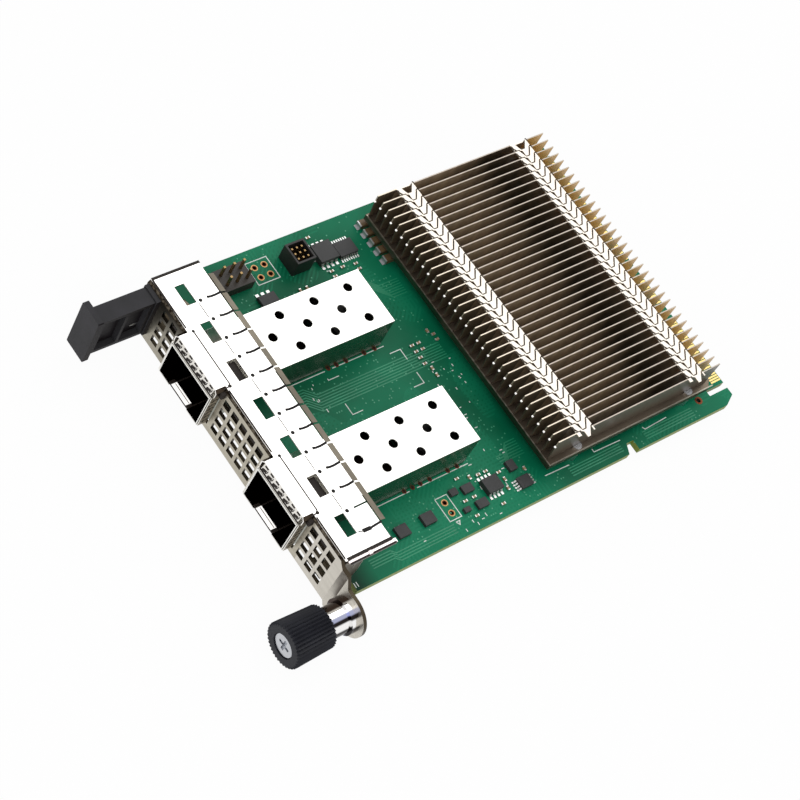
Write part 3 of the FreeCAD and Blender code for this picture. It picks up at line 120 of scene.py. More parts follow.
# Ceramic capacitors in front of the heatsink
CAPACITOR_LOW, CAPACITOR_HIGH = span("ceramic_capacitors")
CAPACITOR_HALF = 0.8
CAPACITOR_PITCH = 2.42
CAPACITOR_COUNT = 5
CAPACITOR_MIDDLES = [CAPACITOR_LOW.x + CAPACITOR_HALF + CAPACITOR_PITCH * step
                     for step in range(CAPACITOR_COUNT)]

# Pitch of the drilled pads
PAD_PITCH = 2.54

# Camera: its place and its directions, fitted to the photograph, and its focal length
CAMERA_PLACE = (139.708, -231.652, 376.0)
CAMERA_RIGHT = (0.55903126, 0.75286846, 0.34738038)
CAMERA_DOWN = (0.78157773, -0.33861427, -0.52390516)
CAMERA_AHEAD = (-0.27680372, 0.56438413, -0.77772119)
CAMERA_LENS = 106.26


# Materials

def tone(red, green, blue):
    """A colour as it looks on screen, from 0 to 255, in the shader's linear numbers."""
    def linear(value):
        value /= 255
        return value / 12.92 if value <= 0.04045 else ((value + 0.055) / 1.055) ** 2.4
    return (linear(red), linear(green), linear(blue), 1.0)


def grey(value):
    """A neutral colour in the shader's linear numbers."""
    return (value, value, value, 1.0)


def scaled(color, factor):
    """A colour made lighter or darker, still opaque."""
    return tuple(min(1.0, channel * factor) for channel in color[:3]) + (1.0,)


class Shader:
    """A procedural material, with short calls for the nodes that most surfaces share."""

    def __init__(self, name, color, roughness, metallic=0.0, specular=0.5):
        self.material = bpy.data.materials.new(name)
        self.material.use_nodes = True
        self.tree = self.material.node_tree
        self.surface = self.tree.nodes["Principled BSDF"]
        self.surface.inputs["Base Color"].default_value = color
        self.surface.inputs["Roughness"].default_value = roughness
        self.surface.inputs["Metallic"].default_value = metallic
        self.surface.inputs["Specular IOR Level"].default_value = specular
        self.places = self.add("ShaderNodeTexCoord").outputs["Object"]

    def add(self, kind, **settings):
        """A new node of some kind, with its settings."""
        node = self.tree.nodes.new(kind)
        for key, value in settings.items():
            setattr(node, key, value)
        return node

    def feed(self, value, socket):
        """Link a socket to another node's output, or set it to a plain value."""
        if isinstance(value, bpy.types.NodeSocket):
            self.tree.links.new(value, socket)
        else:
            socket.default_value = value

    def stretched(self, scale):
        """The object's places, scaled by a factor along each axis."""
        mapping = self.add("ShaderNodeMapping")
        self.feed(scale, mapping.inputs["Scale"])
        self.feed(self.places, mapping.inputs["Vector"])
        return mapping.outputs["Vector"]

    def noise(self, scale, detail=3.0):
        """Noise from 0 to 1, with a scale per metre along each axis."""
        node = self.add("ShaderNodeTexNoise")
        self.feed(1.0, node.inputs["Scale"])
        self.feed(detail, node.inputs["Detail"])
        self.feed(self.stretched(scale), node.inputs["Vector"])
        return node.outputs["Fac"]

    def ramp(self, source, stops):
        """A colour that changes with a value, through stops from 0 to 1."""
        node = self.add("ShaderNodeValToRGB")
        elements = node.color_ramp.elements
        while len(elements) < len(stops):
            elements.new(0.5)
        for element, (place, color) in zip(elements, stops):
            element.position = place
            element.color = color
        self.feed(source, node.inputs["Fac"])
        return node.outputs["Color"]

    def math(self, operation, first, second):
        """Result of one operation on two values, each a socket or a number."""
        node = self.add("ShaderNodeMath", operation=operation)
        self.feed(first, node.inputs[0])
        self.feed(second, node.inputs[1])
        return node.outputs["Value"]

    def above(self, source, limit):
        """1 where a value is larger than a limit."""
        return self.math("GREATER_THAN", source, limit)

    def below(self, source, limit):
        """1 where a value is smaller than a limit."""
        return self.math("LESS_THAN", source, limit)

    def both(self, first, second):
        """1 where both values are 1."""
        return self.math("MULTIPLY", first, second)

    def either(self, *sources):
        """1 where any of the values is 1."""
        result, *others = sources
        for other in others:
            result = self.math("MAXIMUM", result, other)
        return result

    def between(self, source, low, high):
        """1 where a value lies between two limits."""
        return self.both(self.above(source, low), self.below(source, high))

    def mix(self, factor, first, second, blend="MIX"):
        """First colour where the factor is 0, and where it is 1 the second, or the two multiplied."""
        node = self.add("ShaderNodeMix", data_type="RGBA", blend_type=blend)
        self.feed(factor, node.inputs["Factor"])
        self.feed(first, node.inputs[6])
        self.feed(second, node.inputs[7])
        return node.outputs[2]

    def split(self, vector):
        """A vector's parts along X, Y and Z."""
        node = self.add("ShaderNodeSeparateXYZ")
        self.feed(vector, node.inputs["Vector"])
        return node.outputs

    def slope(self, axis):
        """How far the surface's normal points along an axis, with its sign."""
        return self.split(self.add("ShaderNodeNewGeometry").outputs["Normal"])[axis]

    def facing(self, axis):
        """How far the surface's normal points along an axis, without its sign."""
        return self.math("ABSOLUTE", self.slope(axis), 0.0)

    def place(self, axis):
        """Where the surface is along an axis, in the board frame's millimetres."""
        return self.math("DIVIDE", self.math("SUBTRACT", self.split(self.places)[axis], ORIGIN[axis]), MM)

    def color(self, source):
        """Colour the surface from a value or a socket."""
        self.feed(source, self.surface.inputs["Base Color"])

    def rough(self, source, low, high):
        """Roughness from low to high as a value goes from 0 to 1."""
        node = self.add("ShaderNodeMapRange")
        self.feed(low, node.inputs["To Min"])
        self.feed(high, node.inputs["To Max"])
        self.feed(source, node.inputs["Value"])
        self.feed(node.outputs["Result"], self.surface.inputs["Roughness"])

    def bump(self, source, strength, distance=0.00001):
        """Relief from a value, as deep as a distance in metres."""
        node = self.add("ShaderNodeBump")
        self.feed(strength, node.inputs["Strength"])
        self.feed(distance, node.inputs["Distance"])
        self.feed(source, node.inputs["Height"])
        self.feed(node.outputs["Normal"], self.surface.inputs["Normal"])


# Noise scale of rolled sheet, whose grain runs along Y
ROLLED = (900, 120, 900)


def sheet_metal(name, color, roughness, spread=0.06):
    """Plated or rolled sheet, with a faint grain along Y and cloudy tone."""
    shader = Shader(name, color, roughness, metallic=1.0)
    cloud = shader.noise((140, 140, 140))
    shader.color(shader.ramp(cloud, [(0.3, scaled(color, 1 - spread)), (0.7, scaled(color, 1 + spread))]))
    fine = shader.noise(ROLLED, detail=4.0)
    shader.rough(fine, roughness * 0.8, roughness * 1.2)
    shader.bump(fine, 0.12)
    return shader.material


def moulded(name, color, roughness, grain=2600, specular=0.4):
    """Moulded plastic or resin with a fine sand texture."""
    shader = Shader(name, color, roughness, specular=specular)
    cloud = shader.noise((200, 200, 200))
    shader.color(shader.ramp(cloud, [(0.3, scaled(color, 0.82)), (0.7, scaled(color, 1.18))]))
    sand = shader.noise((grain, grain, grain), detail=2.0)
    shader.rough(sand, roughness * 0.85, roughness * 1.15)
    shader.bump(sand, 0.25)
    return shader.material


def glowing(material, color, strength):
    """A material that also gives off some light of its own."""
    surface = material.node_tree.nodes["Principled BSDF"]
    surface.inputs["Emission Color"].default_value = color
    surface.inputs["Emission Strength"].default_value = strength
    return material


def board_material():
    """Green mask over copper runs: fine bundles of lines in patches, bare yellowish edges, and a painted
    shadow of the strip on its right front part.
    """
    mask, run, deep = tone(10, 122, 86), tone(34, 146, 106), tone(4, 92, 62)
    edge, hole = tone(128, 142, 62), tone(44, 26, 16)
    shader = Shader("solder_mask_green", mask, 0.4, specular=0.13)

    def bundles(scale, turned):
        """Fine parallel lines that show only in patches."""
        wave = shader.add("ShaderNodeTexWave", wave_type="BANDS", bands_direction="DIAGONAL")
        shader.feed(0.5, wave.inputs["Scale"])
        shader.feed(turned, wave.inputs["Phase Offset"])
        shader.feed(shader.stretched(scale), wave.inputs["Vector"])
        patch = shader.noise((90 + 30 * turned, 110, 90), detail=0.0)
        return shader.both(shader.above(wave.outputs["Fac"], 0.55), shader.above(patch, 0.6))

    lines = shader.either(bundles((1500, 0, 0), 0.0), bundles((0, 1350, 0), 0.4),
                          bundles((1000, 1000, 0), 0.9))
    cloud = shader.ramp(shader.noise((45, 45, 45)), [(0.32, deep), (0.62, mask)])
    runs = shader.mix(shader.math("MULTIPLY", lines, 0.25), cloud, run)
    # Painted shadow of the strip: right of SHADED_FROM the mask darkens, most towards the front.
    rearward = shader.math("DIVIDE", shader.place(Y), SHADED_REACH)
    shade = shader.ramp(rearward, [(0.15, grey(0.12)), (0.4, grey(0.3)), (0.62, grey(1.0))])
    shaded = shader.mix(shader.above(shader.place(X), SHADED_FROM), runs, shade, blend="MULTIPLY")
    drilled = shader.both(shader.between(shader.place(X), *DRILLED_X),
                          shader.between(shader.place(Y), *DRILLED_Y))
    upright = shader.below(shader.facing(Z), 0.5)
    shader.color(shader.mix(upright, shaded, shader.mix(drilled, edge, hole)))
    shader.bump(lines, 0.2, distance=0.00002)
    return shader.material


def cage_material():
    """Bright plating outside, upright walls darkened by a painted reflection of the board, and painted shade
    on the inside.
    """
    plating, painted_board_reflection, painted_port_shade = tone(238, 237, 232), tone(122, 124, 112), tone(34, 24, 16)
    shader = Shader("cage_plating", plating, 0.24, metallic=1.0)
    grain = shader.noise(ROLLED, detail=4.0)
    outside = shader.ramp(grain, [(0.3, tone(232, 231, 226)), (0.7, tone(246, 245, 240))])
    # Painted reflection of the board on the upright walls.
    walls = shader.mix(shader.above(shader.facing(X), 0.7), outside, painted_board_reflection)
    # Painted shade fills the inside of each port.
    across = shader.place(X)
    wide = shader.either(*(shader.between(across, middle - CAGE_INNER, middle + CAGE_INNER)
                           for middle in PORT_MIDDLES))
    high = shader.between(shader.place(Z), CAGE_LOWEST, CAGE_CEILING)
    inside = shader.both(shader.both(wide, high), shader.above(shader.place(Y), CAGE_MOUTH))
    shader.color(shader.mix(inside, walls, painted_port_shade))
    shader.rough(grain, 0.2, 0.32)
    shader.bump(grain, 0.08)
    return shader.material


def shield_material():
    """Bright spring sheet, greyer with painted shade where it bends down to the rear, and darker with
    painted shade on the sheet's edges that face the sides.
    """
    plating, painted_bend_shade, painted_edge_shade = tone(244, 241, 236), tone(150, 140, 126), tone(70, 60, 50)
    shader = Shader("shield_plating", plating, 0.28, metallic=1.0)
    grain = shader.noise(ROLLED, detail=4.0)
    flat = shader.ramp(grain, [(0.3, tone(240, 237, 232)), (0.7, tone(250, 248, 244))])
    # Painted shade on the rear bend and, darker, on the side-facing edges.
    sheet = shader.mix(shader.above(shader.slope(Y), 0.3), flat, painted_bend_shade)
    shader.color(shader.mix(shader.above(shader.facing(X), 0.7), sheet, painted_edge_shade))
    shader.rough(grain, 0.22, 0.36)
    shader.bump(grain, 0.08)
    return shader.material


def bracket_material():
    """Warm satin plating, with painted light on its right block, painted shade on faces that don't look
    forward such as the vents' walls and high on its left block, and a speckled painted dark reflection along
    the top bend.
    """
    shader = Shader("bracket_plating", tone(172, 166, 152), 0.42, metallic=1.0)
    grain = shader.noise((150, 900, 900), detail=4.0)
    satin = shader.ramp(grain, [(0.3, tone(172, 166, 151)), (0.7, tone(190, 184, 169))])
    # Painted light: a brighter copy of the satin on the right block.
    bright = shader.ramp(grain, [(0.3, tone(198, 193, 183)), (0.7, tone(212, 207, 197))])
    face = shader.mix(shader.above(shader.place(X), BRACKET_BRIGHT_FROM), satin, bright)
    # Painted shade on every face that doesn't face the front, such as the vents' walls.
    plate = shader.mix(shader.below(shader.slope(Y), -0.5), tone(74, 66, 54), face)
    # Painted shade on the left block, darker towards its top.
    height = shader.math("DIVIDE", shader.place(Z), BRACKET_HEIGHT)
    shade = shader.ramp(height, [(0.3, grey(0.8)), (0.95, (0.12, 0.11, 0.1, 1.0))])
    shaded = shader.mix(shader.below(shader.place(X), BRACKET_SHADED_TO), plate, shade, blend="MULTIPLY")
    # Painted dark reflection of the top bend, speckled.
    speckle = shader.noise((1600, 1600, 1600), detail=2.0)
    rim = shader.ramp(speckle, [(0.4, tone(30, 24, 18)), (0.66, tone(96, 88, 76))])
    shader.color(shader.mix(shader.above(shader.place(Z), BRACKET_RIM), shaded, rim))
    shader.rough(grain, 0.34, 0.5)
    shader.bump(grain, 0.1)
    return shader.material


def gasket_material():
    """Spring sheet round a cage's nose: bright on top, and greyer with painted shade on its upright sides.
    """
    shader = Shader("gasket_plating", tone(240, 237, 232), 0.3, metallic=1.0)
    grain = shader.noise((900, 900, 900), detail=3.0)
    top = shader.ramp(grain, [(0.3, tone(222, 218, 210)), (0.7, tone(242, 239, 233))])
    # Painted shade: a darker copy of the sheet for the upright sides.
    side = shader.ramp(grain, [(0.3, tone(112, 104, 90)), (0.7, tone(158, 150, 136))])
    shader.color(shader.mix(shader.above(shader.facing(X), 0.7), top, side))
    shader.bump(grain, 0.2, distance=0.00002)
    return shader.material


def fin_material():
    """Plated fins: pale on their folded tops and tabs, brown and duller on the upright faces, with a painted
    dark reflection along them and painted shade on the last fin's outer face.
    """
    shader = Shader("fin_plating", tone(150, 138, 122), 0.34, metallic=1.0)
    streak = shader.noise((500, 500, 60), detail=3.0)
    along = shader.place(Y)
    ahead = shader.below(along, BAND_STARTS[0])
    upright = shader.above(shader.facing(X), 0.6)
    front_edge = shader.below(shader.slope(Y), -0.3)

    # Painted dark reflection along the upright faces, darkest at REFLECTION_MIDDLE.
    apart = shader.math("ABSOLUTE", shader.math("SUBTRACT", along, REFLECTION_MIDDLE), 0.0)
    reflection = shader.ramp(shader.math("DIVIDE", apart, REFLECTION_REACH), [
        (0.12, tone(104, 92, 76)), (0.4, tone(176, 160, 140)), (0.75, tone(204, 188, 168)),
        (1.0, tone(214, 200, 180))])
    soot = shader.ramp(streak, [(0.3, tone(176, 160, 138)), (0.7, tone(236, 222, 202))])
    inner = shader.mix(0.7, reflection, soot, blend="MULTIPLY")
    dusky = shader.mix(ahead, inner, tone(112, 97, 77))
    golden = shader.mix(shader.above(along, GOLDEN_FROM), dusky, tone(204, 164, 92))
    # Painted shade darkens the last fin's outer face.
    last = shader.above(shader.place(X), FIN_FIRST + (FIN_COUNT - 1.1) * FIN_PITCH)
    sides = shader.mix(last, golden, tone(84, 74, 62))

    folded = shader.ramp(streak, [(0.3, tone(150, 140, 130)), (0.7, tone(170, 162, 152))])
    arms = shader.mix(ahead, folded, tone(198, 188, 172))
    tabs = shader.either(*(shader.between(along, start, start + BAND_LONG) for start in BAND_STARTS))
    tops = shader.mix(tabs, arms, tone(208, 201, 191))
    under_bead = shader.below(shader.place(Z), BEAD_HEIGHT - 0.2)
    front = shader.mix(under_bead, tone(164, 152, 134), tone(74, 66, 54))
    shader.color(shader.mix(upright, shader.mix(front_edge, tops, front), sides))

    dull = shader.either(shader.math("MULTIPLY", upright, 0.6), shader.math("MULTIPLY", front_edge, 0.8))
    shader.feed(shader.math("SUBTRACT", 1.0, dull), shader.surface.inputs["Metallic"])
    shader.rough(streak, 0.26, 0.42)
    shader.bump(streak, 0.08)
    return shader.material


def tab_material():
    """Black plastic, with painted shade deepening the faces to the right, the recess among them."""
    shader = Shader("tab_plastic", tone(56, 56, 58), 0.5, specular=0.1)
    cloud = shader.noise((200, 200, 200))
    outside = shader.ramp(cloud, [(0.3, tone(52, 52, 53)), (0.7, tone(60, 59, 62))])
    # Painted shade on the faces that look to the right.
    shader.color(shader.mix(shader.above(shader.slope(X), 0.4), outside, tone(24, 21, 23)))
    sand = shader.noise((1800, 1800, 1800), detail=2.0)
    shader.rough(sand, 0.42, 0.58)
    shader.bump(sand, 0.35)
    return shader.material


def sleeve_material():
    """Polished chrome with the painted reflection of a studio: dark and light bands round the sleeve's axis.
    """
    shader = Shader("sleeve_chrome", tone(210, 214, 222), 0.12, metallic=1.0)
    turned = shader.math("ARCTAN2", shader.math("SUBTRACT", shader.place(Z), THUMB_AXIS[1]),
                         shader.math("SUBTRACT", shader.place(X), THUMB_AXIS[0]))
    share = shader.math("ADD", shader.math("DIVIDE", turned, 2 * math.pi), 0.5)
    # Painted reflection bands, by angle round the axis.
    dark, brown = tone(38, 34, 34), tone(66, 54, 48)
    blue, light = tone(168, 172, 198), tone(244, 243, 242)
    shader.color(shader.ramp(share, [
        (0.0, brown), (0.3, blue), (0.42, dark), (0.555, dark), (0.575, light), (0.63, light),
        (0.645, dark), (0.672, dark), (0.685, blue), (0.71, blue), (0.725, light), (0.785, light),
        (0.805, brown), (1.0, brown)]))
    shader.rough(shader.noise((400, 400, 400)), 0.08, 0.16)
    return shader.material


SHIELD = shield_material()
# Darker nickel, painted shade on the side clip under the strip's lip; also used for the bracket screws.
SHIELD_SHADE = sheet_metal("nickel_shade", tone(104, 96, 84), 0.42)
BRACKET = bracket_material()
CAGE = cage_material()
GASKET = gasket_material()
# Greyer plating of the finger tails, painted shade where they slope down to the rear.
TAIL = sheet_metal("finger_tail", tone(134, 126, 112), 0.4, spread=0.2)
# Lighter sheet for painted highlights on edges: the heatsink base's edges and the side clip's rim.
EDGE_HIGHLIGHT = sheet_metal("base_edge_highlight", tone(150, 144, 132), 0.35)
ROD = sheet_metal("lip_rod", tone(232, 220, 218), 0.3)
COPPER = sheet_metal("bare_copper", tone(108, 60, 40), 0.4)
RIM = sheet_metal("pad_rim", tone(176, 140, 96), 0.4)
STEEL = sheet_metal("zinc_steel", tone(196, 198, 202), 0.28)
GOLD = sheet_metal("gold_plating", tone(222, 190, 122), 0.3)
TIN = sheet_metal("tin_plating", tone(206, 206, 204), 0.35)
LID = sheet_metal("lid_nickel", tone(182, 182, 184), 0.4)
BASE = sheet_metal("base_plating", tone(104, 94, 82), 0.36)
PIN = sheet_metal("pin_bronze", tone(150, 124, 84), 0.4)
FINS = fin_material()
CHROME = sleeve_material()
MASK = board_material()
TAB = tab_material()
RESIN = moulded("chip_resin", tone(48, 48, 48), 0.5)
CONNECTOR = moulded("connector_resin", tone(30, 28, 27), 0.45)
HEADER = moulded("header_resin", tone(52, 48, 44), 0.5)
KNOB = moulded("knob_plastic", tone(34, 35, 41), 0.42, grain=2200, specular=0.16)
FILM = moulded("insulator_film", tone(40, 40, 42), 0.55, grain=700)
CERAMIC = moulded("ceramic_brown", tone(104, 84, 58), 0.4, grain=3000)
CERAMIC_PALE = moulded("ceramic_pale", tone(166, 140, 108), 0.4, grain=3000)
PASTE = moulded("thermal_paste", tone(196, 198, 202), 0.7)
SILK = moulded("silk_white", tone(226, 232, 226), 0.6, grain=4000)
VIA = moulded("via_green", tone(64, 156, 118), 0.35, grain=3000)
RUN = moulded("run_green", tone(28, 138, 98), 0.36, grain=3000)
# Dark fills: painted shade in slits, gaps, holes and hollows, and dark seam lines.
GAP_BLACK = moulded("gap_black", tone(14, 13, 12), 0.8)
GAP_BROWN = moulded("gap_brown", tone(30, 22, 16), 0.7)
GAP_FIN = moulded("fin_gap_brown", tone(58, 48, 36), 0.6)
# White that glows: painted highlight on the latch tips and the fins' front beads.
GLOWING_HIGHLIGHT = glowing(moulded("glowing_highlight_white", tone(240, 238, 234), 0.4), tone(250, 248, 244), 0.8)

NODE_MATERIALS = {
    "circuit_board": MASK, "edge_contacts_top": GOLD, "edge_contacts_bottom": GOLD,
    "faceplate": BRACKET, "bracket_screws": SHIELD_SHADE,
    "top_shield_fingers": SHIELD, "side_shield_clip": SHIELD_SHADE,
    "transceiver_cage_left": CAGE, "transceiver_cage_right": CAGE,
    "cage_gasket_left": GASKET, "cage_gasket_right": GASKET,
    "host_connector_left": CONNECTOR, "host_connector_right": CONNECTOR,
    "host_contacts_left": GOLD, "host_contacts_right": GOLD,
    "pull_tab": TAB, "pull_tab_screws": STEEL,
    "thumbscrew_sleeve": CHROME, "thumbscrew_knob": KNOB, "thumbscrew_screw": STEEL,
    "thumbscrew_spring": STEEL,
    "heatsink_base": BASE, "heatsink_fins": FINS, "heatsink_posts": STEEL, "heatsink_screws": STEEL,
    "network_processor": LID, "thermal_pad": PASTE,
    "header_block": HEADER, "header_pins": PIN,
    "box_connector": CONNECTOR, "box_connector_pins": PIN,
    "memory_chip": RESIN, "interface_chip": RESIN, "clock_chip": RESIN, "power_chip": RESIN,
    "monitor_chip": RESIN, "front_regulator": RESIN, "rear_regulator": RESIN,
    "chip_leads": TIN, "small_chips": RESIN,
    "ceramic_capacitors": CERAMIC, "small_parts": CERAMIC_PALE,
    "bottom_insulator": FILM, "insulator_spacers": CONNECTOR, "insulator_rivets": CONNECTOR,
}


def dress_nodes():
    """Give every node its material."""
    for name, material in NODE_MATERIALS.items():
        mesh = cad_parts[name].data
        mesh.materials.clear()
        mesh.materials.append(material)


# Mesh pieces

def new_piece(name, corners, faces, material):
    """A mesh that rides on the card's main body."""
    mesh = bpy.data.meshes.new(name)
    mesh.from_pydata(corners, [], faces)
    mesh.validate()
    mesh.materials.append(material)
    piece = bpy.data.objects.new(name, mesh)
    bpy.context.collection.objects.link(piece)
    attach(piece, "root")
    return piece


def ribbon_rims(path, width):
    """Both rims of a flat line of some width along a path, with mitred corners."""
    points = [Vector(point) for point in path]
    left, right = [], []
    for index, point in enumerate(points):
        before = (point - points[index - 1]).normalized() if index else None
        after = (points[index + 1] - point).normalized() if index + 1 < len(points) else None
        before = before or after
        after = after or before
        across = Vector((-(before + after).y, (before + after).x)).normalized()
        reach = width / 2 / max(0.3, across.dot(Vector((-after.y, after.x))))
        left.append(point + across * reach)
        right.append(point - across * reach)
    return left, right


def ribbons(name, paths, width, material, low=0.0, high=0.03, place=at):
    """Thin raised lines along paths on a surface, which place() turns into the scene's places."""
    corners, faces = [], []
    for path in paths:
        left, right = ribbon_rims(path, width)
        start = len(corners)
        for one, other in zip(left, right):
            corners += [place(one.x, one.y, low), place(other.x, other.y, low),
                        place(other.x, other.y, high), place(one.x, one.y, high)]
        for step in range(len(path) - 1):
            ring, after = start + 4 * step, start + 4 * step + 4
            faces += [(ring + side, ring + (side + 1) % 4, after + (side + 1) % 4, after + side)
                      for side in range(4)]
        faces += [(start + 3, start + 2, start + 1, start), tuple(range(len(corners) - 4, len(corners)))]
    new_piece(name, corners, faces, material)


def tube_faces(start, sides, near, far):
    """Faces between two rings of corners, counted in rings from a start."""
    near, far = start + near * sides, start + far * sides
    return [(near + k, near + (k + 1) % sides, far + (k + 1) % sides, far + k) for k in range(sides)]


def discs(name, places, radius, material, low=0.0, high=0.03, hole=0.0, sides=14, place=at):
    """Round spots, or rings where a hole is given."""
    corners, faces = [], []
    turns = [(math.cos(2 * math.pi * k / sides), math.sin(2 * math.pi * k / sides)) for k in range(sides)]
    rings = [(radius, low), (radius, high)]
    if hole:
        rings += [(hole, high), (hole, low)]
    for x, y in places:
        start = len(corners)
        for reach, height in rings:
            corners += [place(x + reach * c, y + reach * s, height) for c, s in turns]
        if hole:
            for ring in range(4):
                faces += tube_faces(start, sides, ring, (ring + 1) % 4)
        else:
            faces += tube_faces(start, sides, 0, 1)
            faces += [tuple(range(start + sides - 1, start - 1, -1)),
                      tuple(range(start + sides, start + 2 * sides))]
    new_piece(name, corners, faces, material)


def blocks(name, boxes, material, bevel=0.0):
    """Blocks from ranges in X, Y and Z, with softened edges where a bevel is given."""
    corners, faces = [], []
    for (left, right), (front, rear), heights in boxes:
        start = len(corners)
        outline = ((left, front), (right, front), (right, rear), (left, rear))
        corners += [at(x, y, z) for z in heights for x, y in outline]
        faces += [tuple(start + k for k in face) for face in (
            (3, 2, 1, 0), (4, 5, 6, 7), (0, 1, 5, 4), (1, 2, 6, 5), (2, 3, 7, 6), (3, 0, 4, 7))]
    piece = new_piece(name, corners, faces, material)
    if bevel:
        soften(piece, bevel)


def soften(piece, width):
    """Round the sharp edges a little, so that they catch light."""
    weld = piece.modifiers.new("weld", "WELD")
    weld.merge_threshold = 0.000002
    bevel = piece.modifiers.new("soft_edges", "BEVEL")
    bevel.width = width * MM
    bevel.segments = 2
    bevel.limit_method = "ANGLE"
    bevel.angle_limit = math.radians(50)


SOFT_NODES = {
    "pull_tab": 0.15, "memory_chip": 0.08, "interface_chip": 0.08, "clock_chip": 0.08,
    "power_chip": 0.08, "monitor_chip": 0.08, "front_regulator": 0.08, "rear_regulator": 0.08,
    "small_chips": 0.06, "ceramic_capacitors": 0.1, "small_parts": 0.05, "box_connector": 0.08,
    "header_block": 0.08, "top_shield_fingers": 0.09, "transceiver_cage_left": 0.12,
    "transceiver_cage_right": 0.12, "thumbscrew_screw": 0.1, "heatsink_base": 0.15,
}


def soften_nodes():
    """Soften the nodes whose edges show."""
    for name, width in SOFT_NODES.items():
        soften(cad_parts[name], width)


# Marks on the board

def rectangle(left, front, right, rear):
    """Closed path round a rectangle."""
    return [(left, front), (right, front), (right, rear), (left, rear), (left, front)]


def silk_marks():
    """White printed lines: outlines and corner marks, with no lettering."""
    beside_cages = [[(x, front), (x, rear)] for x in (-6.4, 24.4)
                    for front, rear in ((16.5, 30.0), (32.0, 45.8))]
    beside_heatsink = [[(34.0, 60.0), (34.2, 66.8)], [(33.3, 74.2), (34.1, 74.2), (34.3, 81.8)],
                       [(33.9, 88.8), (34.6, 89.2), (34.3, 95.9)]]
    label_corners = [[(-4.7, 29.5), (-4.3, 29.5), (-4.3, 32.2)], [(1.8, 29.5), (4.6, 29.5), (4.6, 32.2)],
                     [(-4.3, 46.0), (-4.3, 48.8), (-1.6, 48.8)], [(1.8, 48.8), (4.6, 48.8), (4.6, 46.0)]]
    round_pads = [rectangle(-35.2, 29.0, -29.6, 34.6), rectangle(28.3, 33.8, 33.8, 36.9)]
    arrow = [[(34.4, 34.9), (35.2, 35.4), (34.4, 35.9), (34.4, 34.9)]]
    ticks = [[(36.2, y), (37.3, y)] for y in (6.75, 7.35)]
    return beside_cages + beside_heatsink + label_corners + round_pads + arrow + ticks


def silk_ticks():
    """Short printed strokes beside the small parts, in place of lettering."""
    chance = random.Random(5)
    ticks = []
    for middle_x, middle_y, wide, long, count in (
            (27.5, 49.0, 4.5, 6.0, 14), (4.5, 54.5, 4.0, 3.5, 12), (-2.0, 21.5, 3.2, 5.0, 8),
            (-28.5, 42.0, 5.0, 6.0, 10), (36.0, 34.0, 1.0, 12.0, 7), (15.0, 53.0, 5.0, 3.0, 8)):
        for _ in range(count):
            x = middle_x + (2 * chance.random() - 1) * wide
            y = middle_y + (2 * chance.random() - 1) * long
            along = 0.35 + 0.5 * chance.random()
            ticks.append([(x, y), (x + along, y)] if chance.random() < 0.5 else [(x, y), (x, y + along)])
    return ticks


def print_silk():
    """The board's white print."""
    ribbons("silk_lines", silk_marks(), 0.2, SILK)
    ribbons("silk_ticks", silk_ticks(), 0.2, SILK, high=0.025)


def copper_rings():
    """Bright rings round the drilled pads and the cage's holding pins."""
    four = [(-33.65 + PAD_PITCH * i, 30.55 + PAD_PITCH * j) for i in (0, 1) for j in (0, 1)]
    two = [(29.75 + PAD_PITCH * i, 35.35) for i in (0, 1)]
    discs("pad_rings", four + two, 0.6, COPPER, high=0.04, hole=0.44)
    discs("pad_rims", four + two, 0.78, RIM, high=0.03, hole=0.58)
    pins = [(24.0, y) for y in (28.9, 31.1, 33.2, 35.7, 40.6, 43.1)]
    pins += [(-6.65, y) for y in (31.1, 33.3, 35.8, 40.7, 43.5)]
    discs("pin_pads", pins, 0.5, COPPER, high=0.05)
    discs("pin_pad_holes", pins, 0.24, GAP_BLACK, high=0.06)
    discs("ear_ring", [(34.2, 106.2)], 0.95, COPPER, high=0.04, hole=0.54, sides=20)


def scatter_vias():
    """Small raised rings of masked vias, on a grid over the free parts of the board."""
    chance = random.Random(11)
    grid = 0.6
    places = []
    for low_x, high_x, low_y, high_y, count in (
            (-5.5, 8.5, 14, 58, 150), (-24, -8, 46, 58, 60), (10, 24, 46, 58, 60),
            (25, 37, 16, 58, 110), (-37, -22, 14, 58, 90), (34.3, 37.5, 60, 104, 50)):
        for _ in range(count):
            x = low_x + round(chance.random() * (high_x - low_x) / grid) * grid
            y = low_y + round(chance.random() * (high_y - low_y) / grid) * grid
            places.append((x, y))
    discs("vias", sorted(set(places)), 0.17, VIA, high=0.015, sides=8)


def copper_runs():
    """Masked copper runs, in bundles that turn corners at 45 degrees."""
    runs = []
    for step in range(7):
        shift = 0.62 * step
        runs.append([(-4.6 + shift, 15.0), (-4.6 + shift, 23.0 - 0.3 * shift),
                     (-2.4 + shift, 25.2 - 0.3 * shift), (-2.4 + shift, 58.0)])
        runs.append([(25.8 + shift, 52.6), (25.8 + shift, 54.5 - 0.4 * shift),
                     (23.8 + shift, 56.5 - 0.4 * shift), (23.8 + shift, 59.2)])
        runs.append([(-22.4 + shift, 46.5), (-22.4 + shift, 51.0 + 0.4 * shift),
                     (-19.4 + shift, 54.0 + 0.4 * shift), (-19.4 + shift, 59.2)])
    for step in range(4):
        shift = 0.6 * step
        runs.append([(34.9 + shift, 66.0), (34.9 + shift, 81.0)])
        runs.append([(34.9 + shift, 88.0), (34.9 + shift, 103.0)])
        runs.append([(33.6 + shift, 12.5), (33.6 + shift, 18.0), (34.6 + shift, 19.0), (34.6 + shift, 34.0)])
    ribbons("copper_runs", runs, 0.22, RUN, high=0.02)


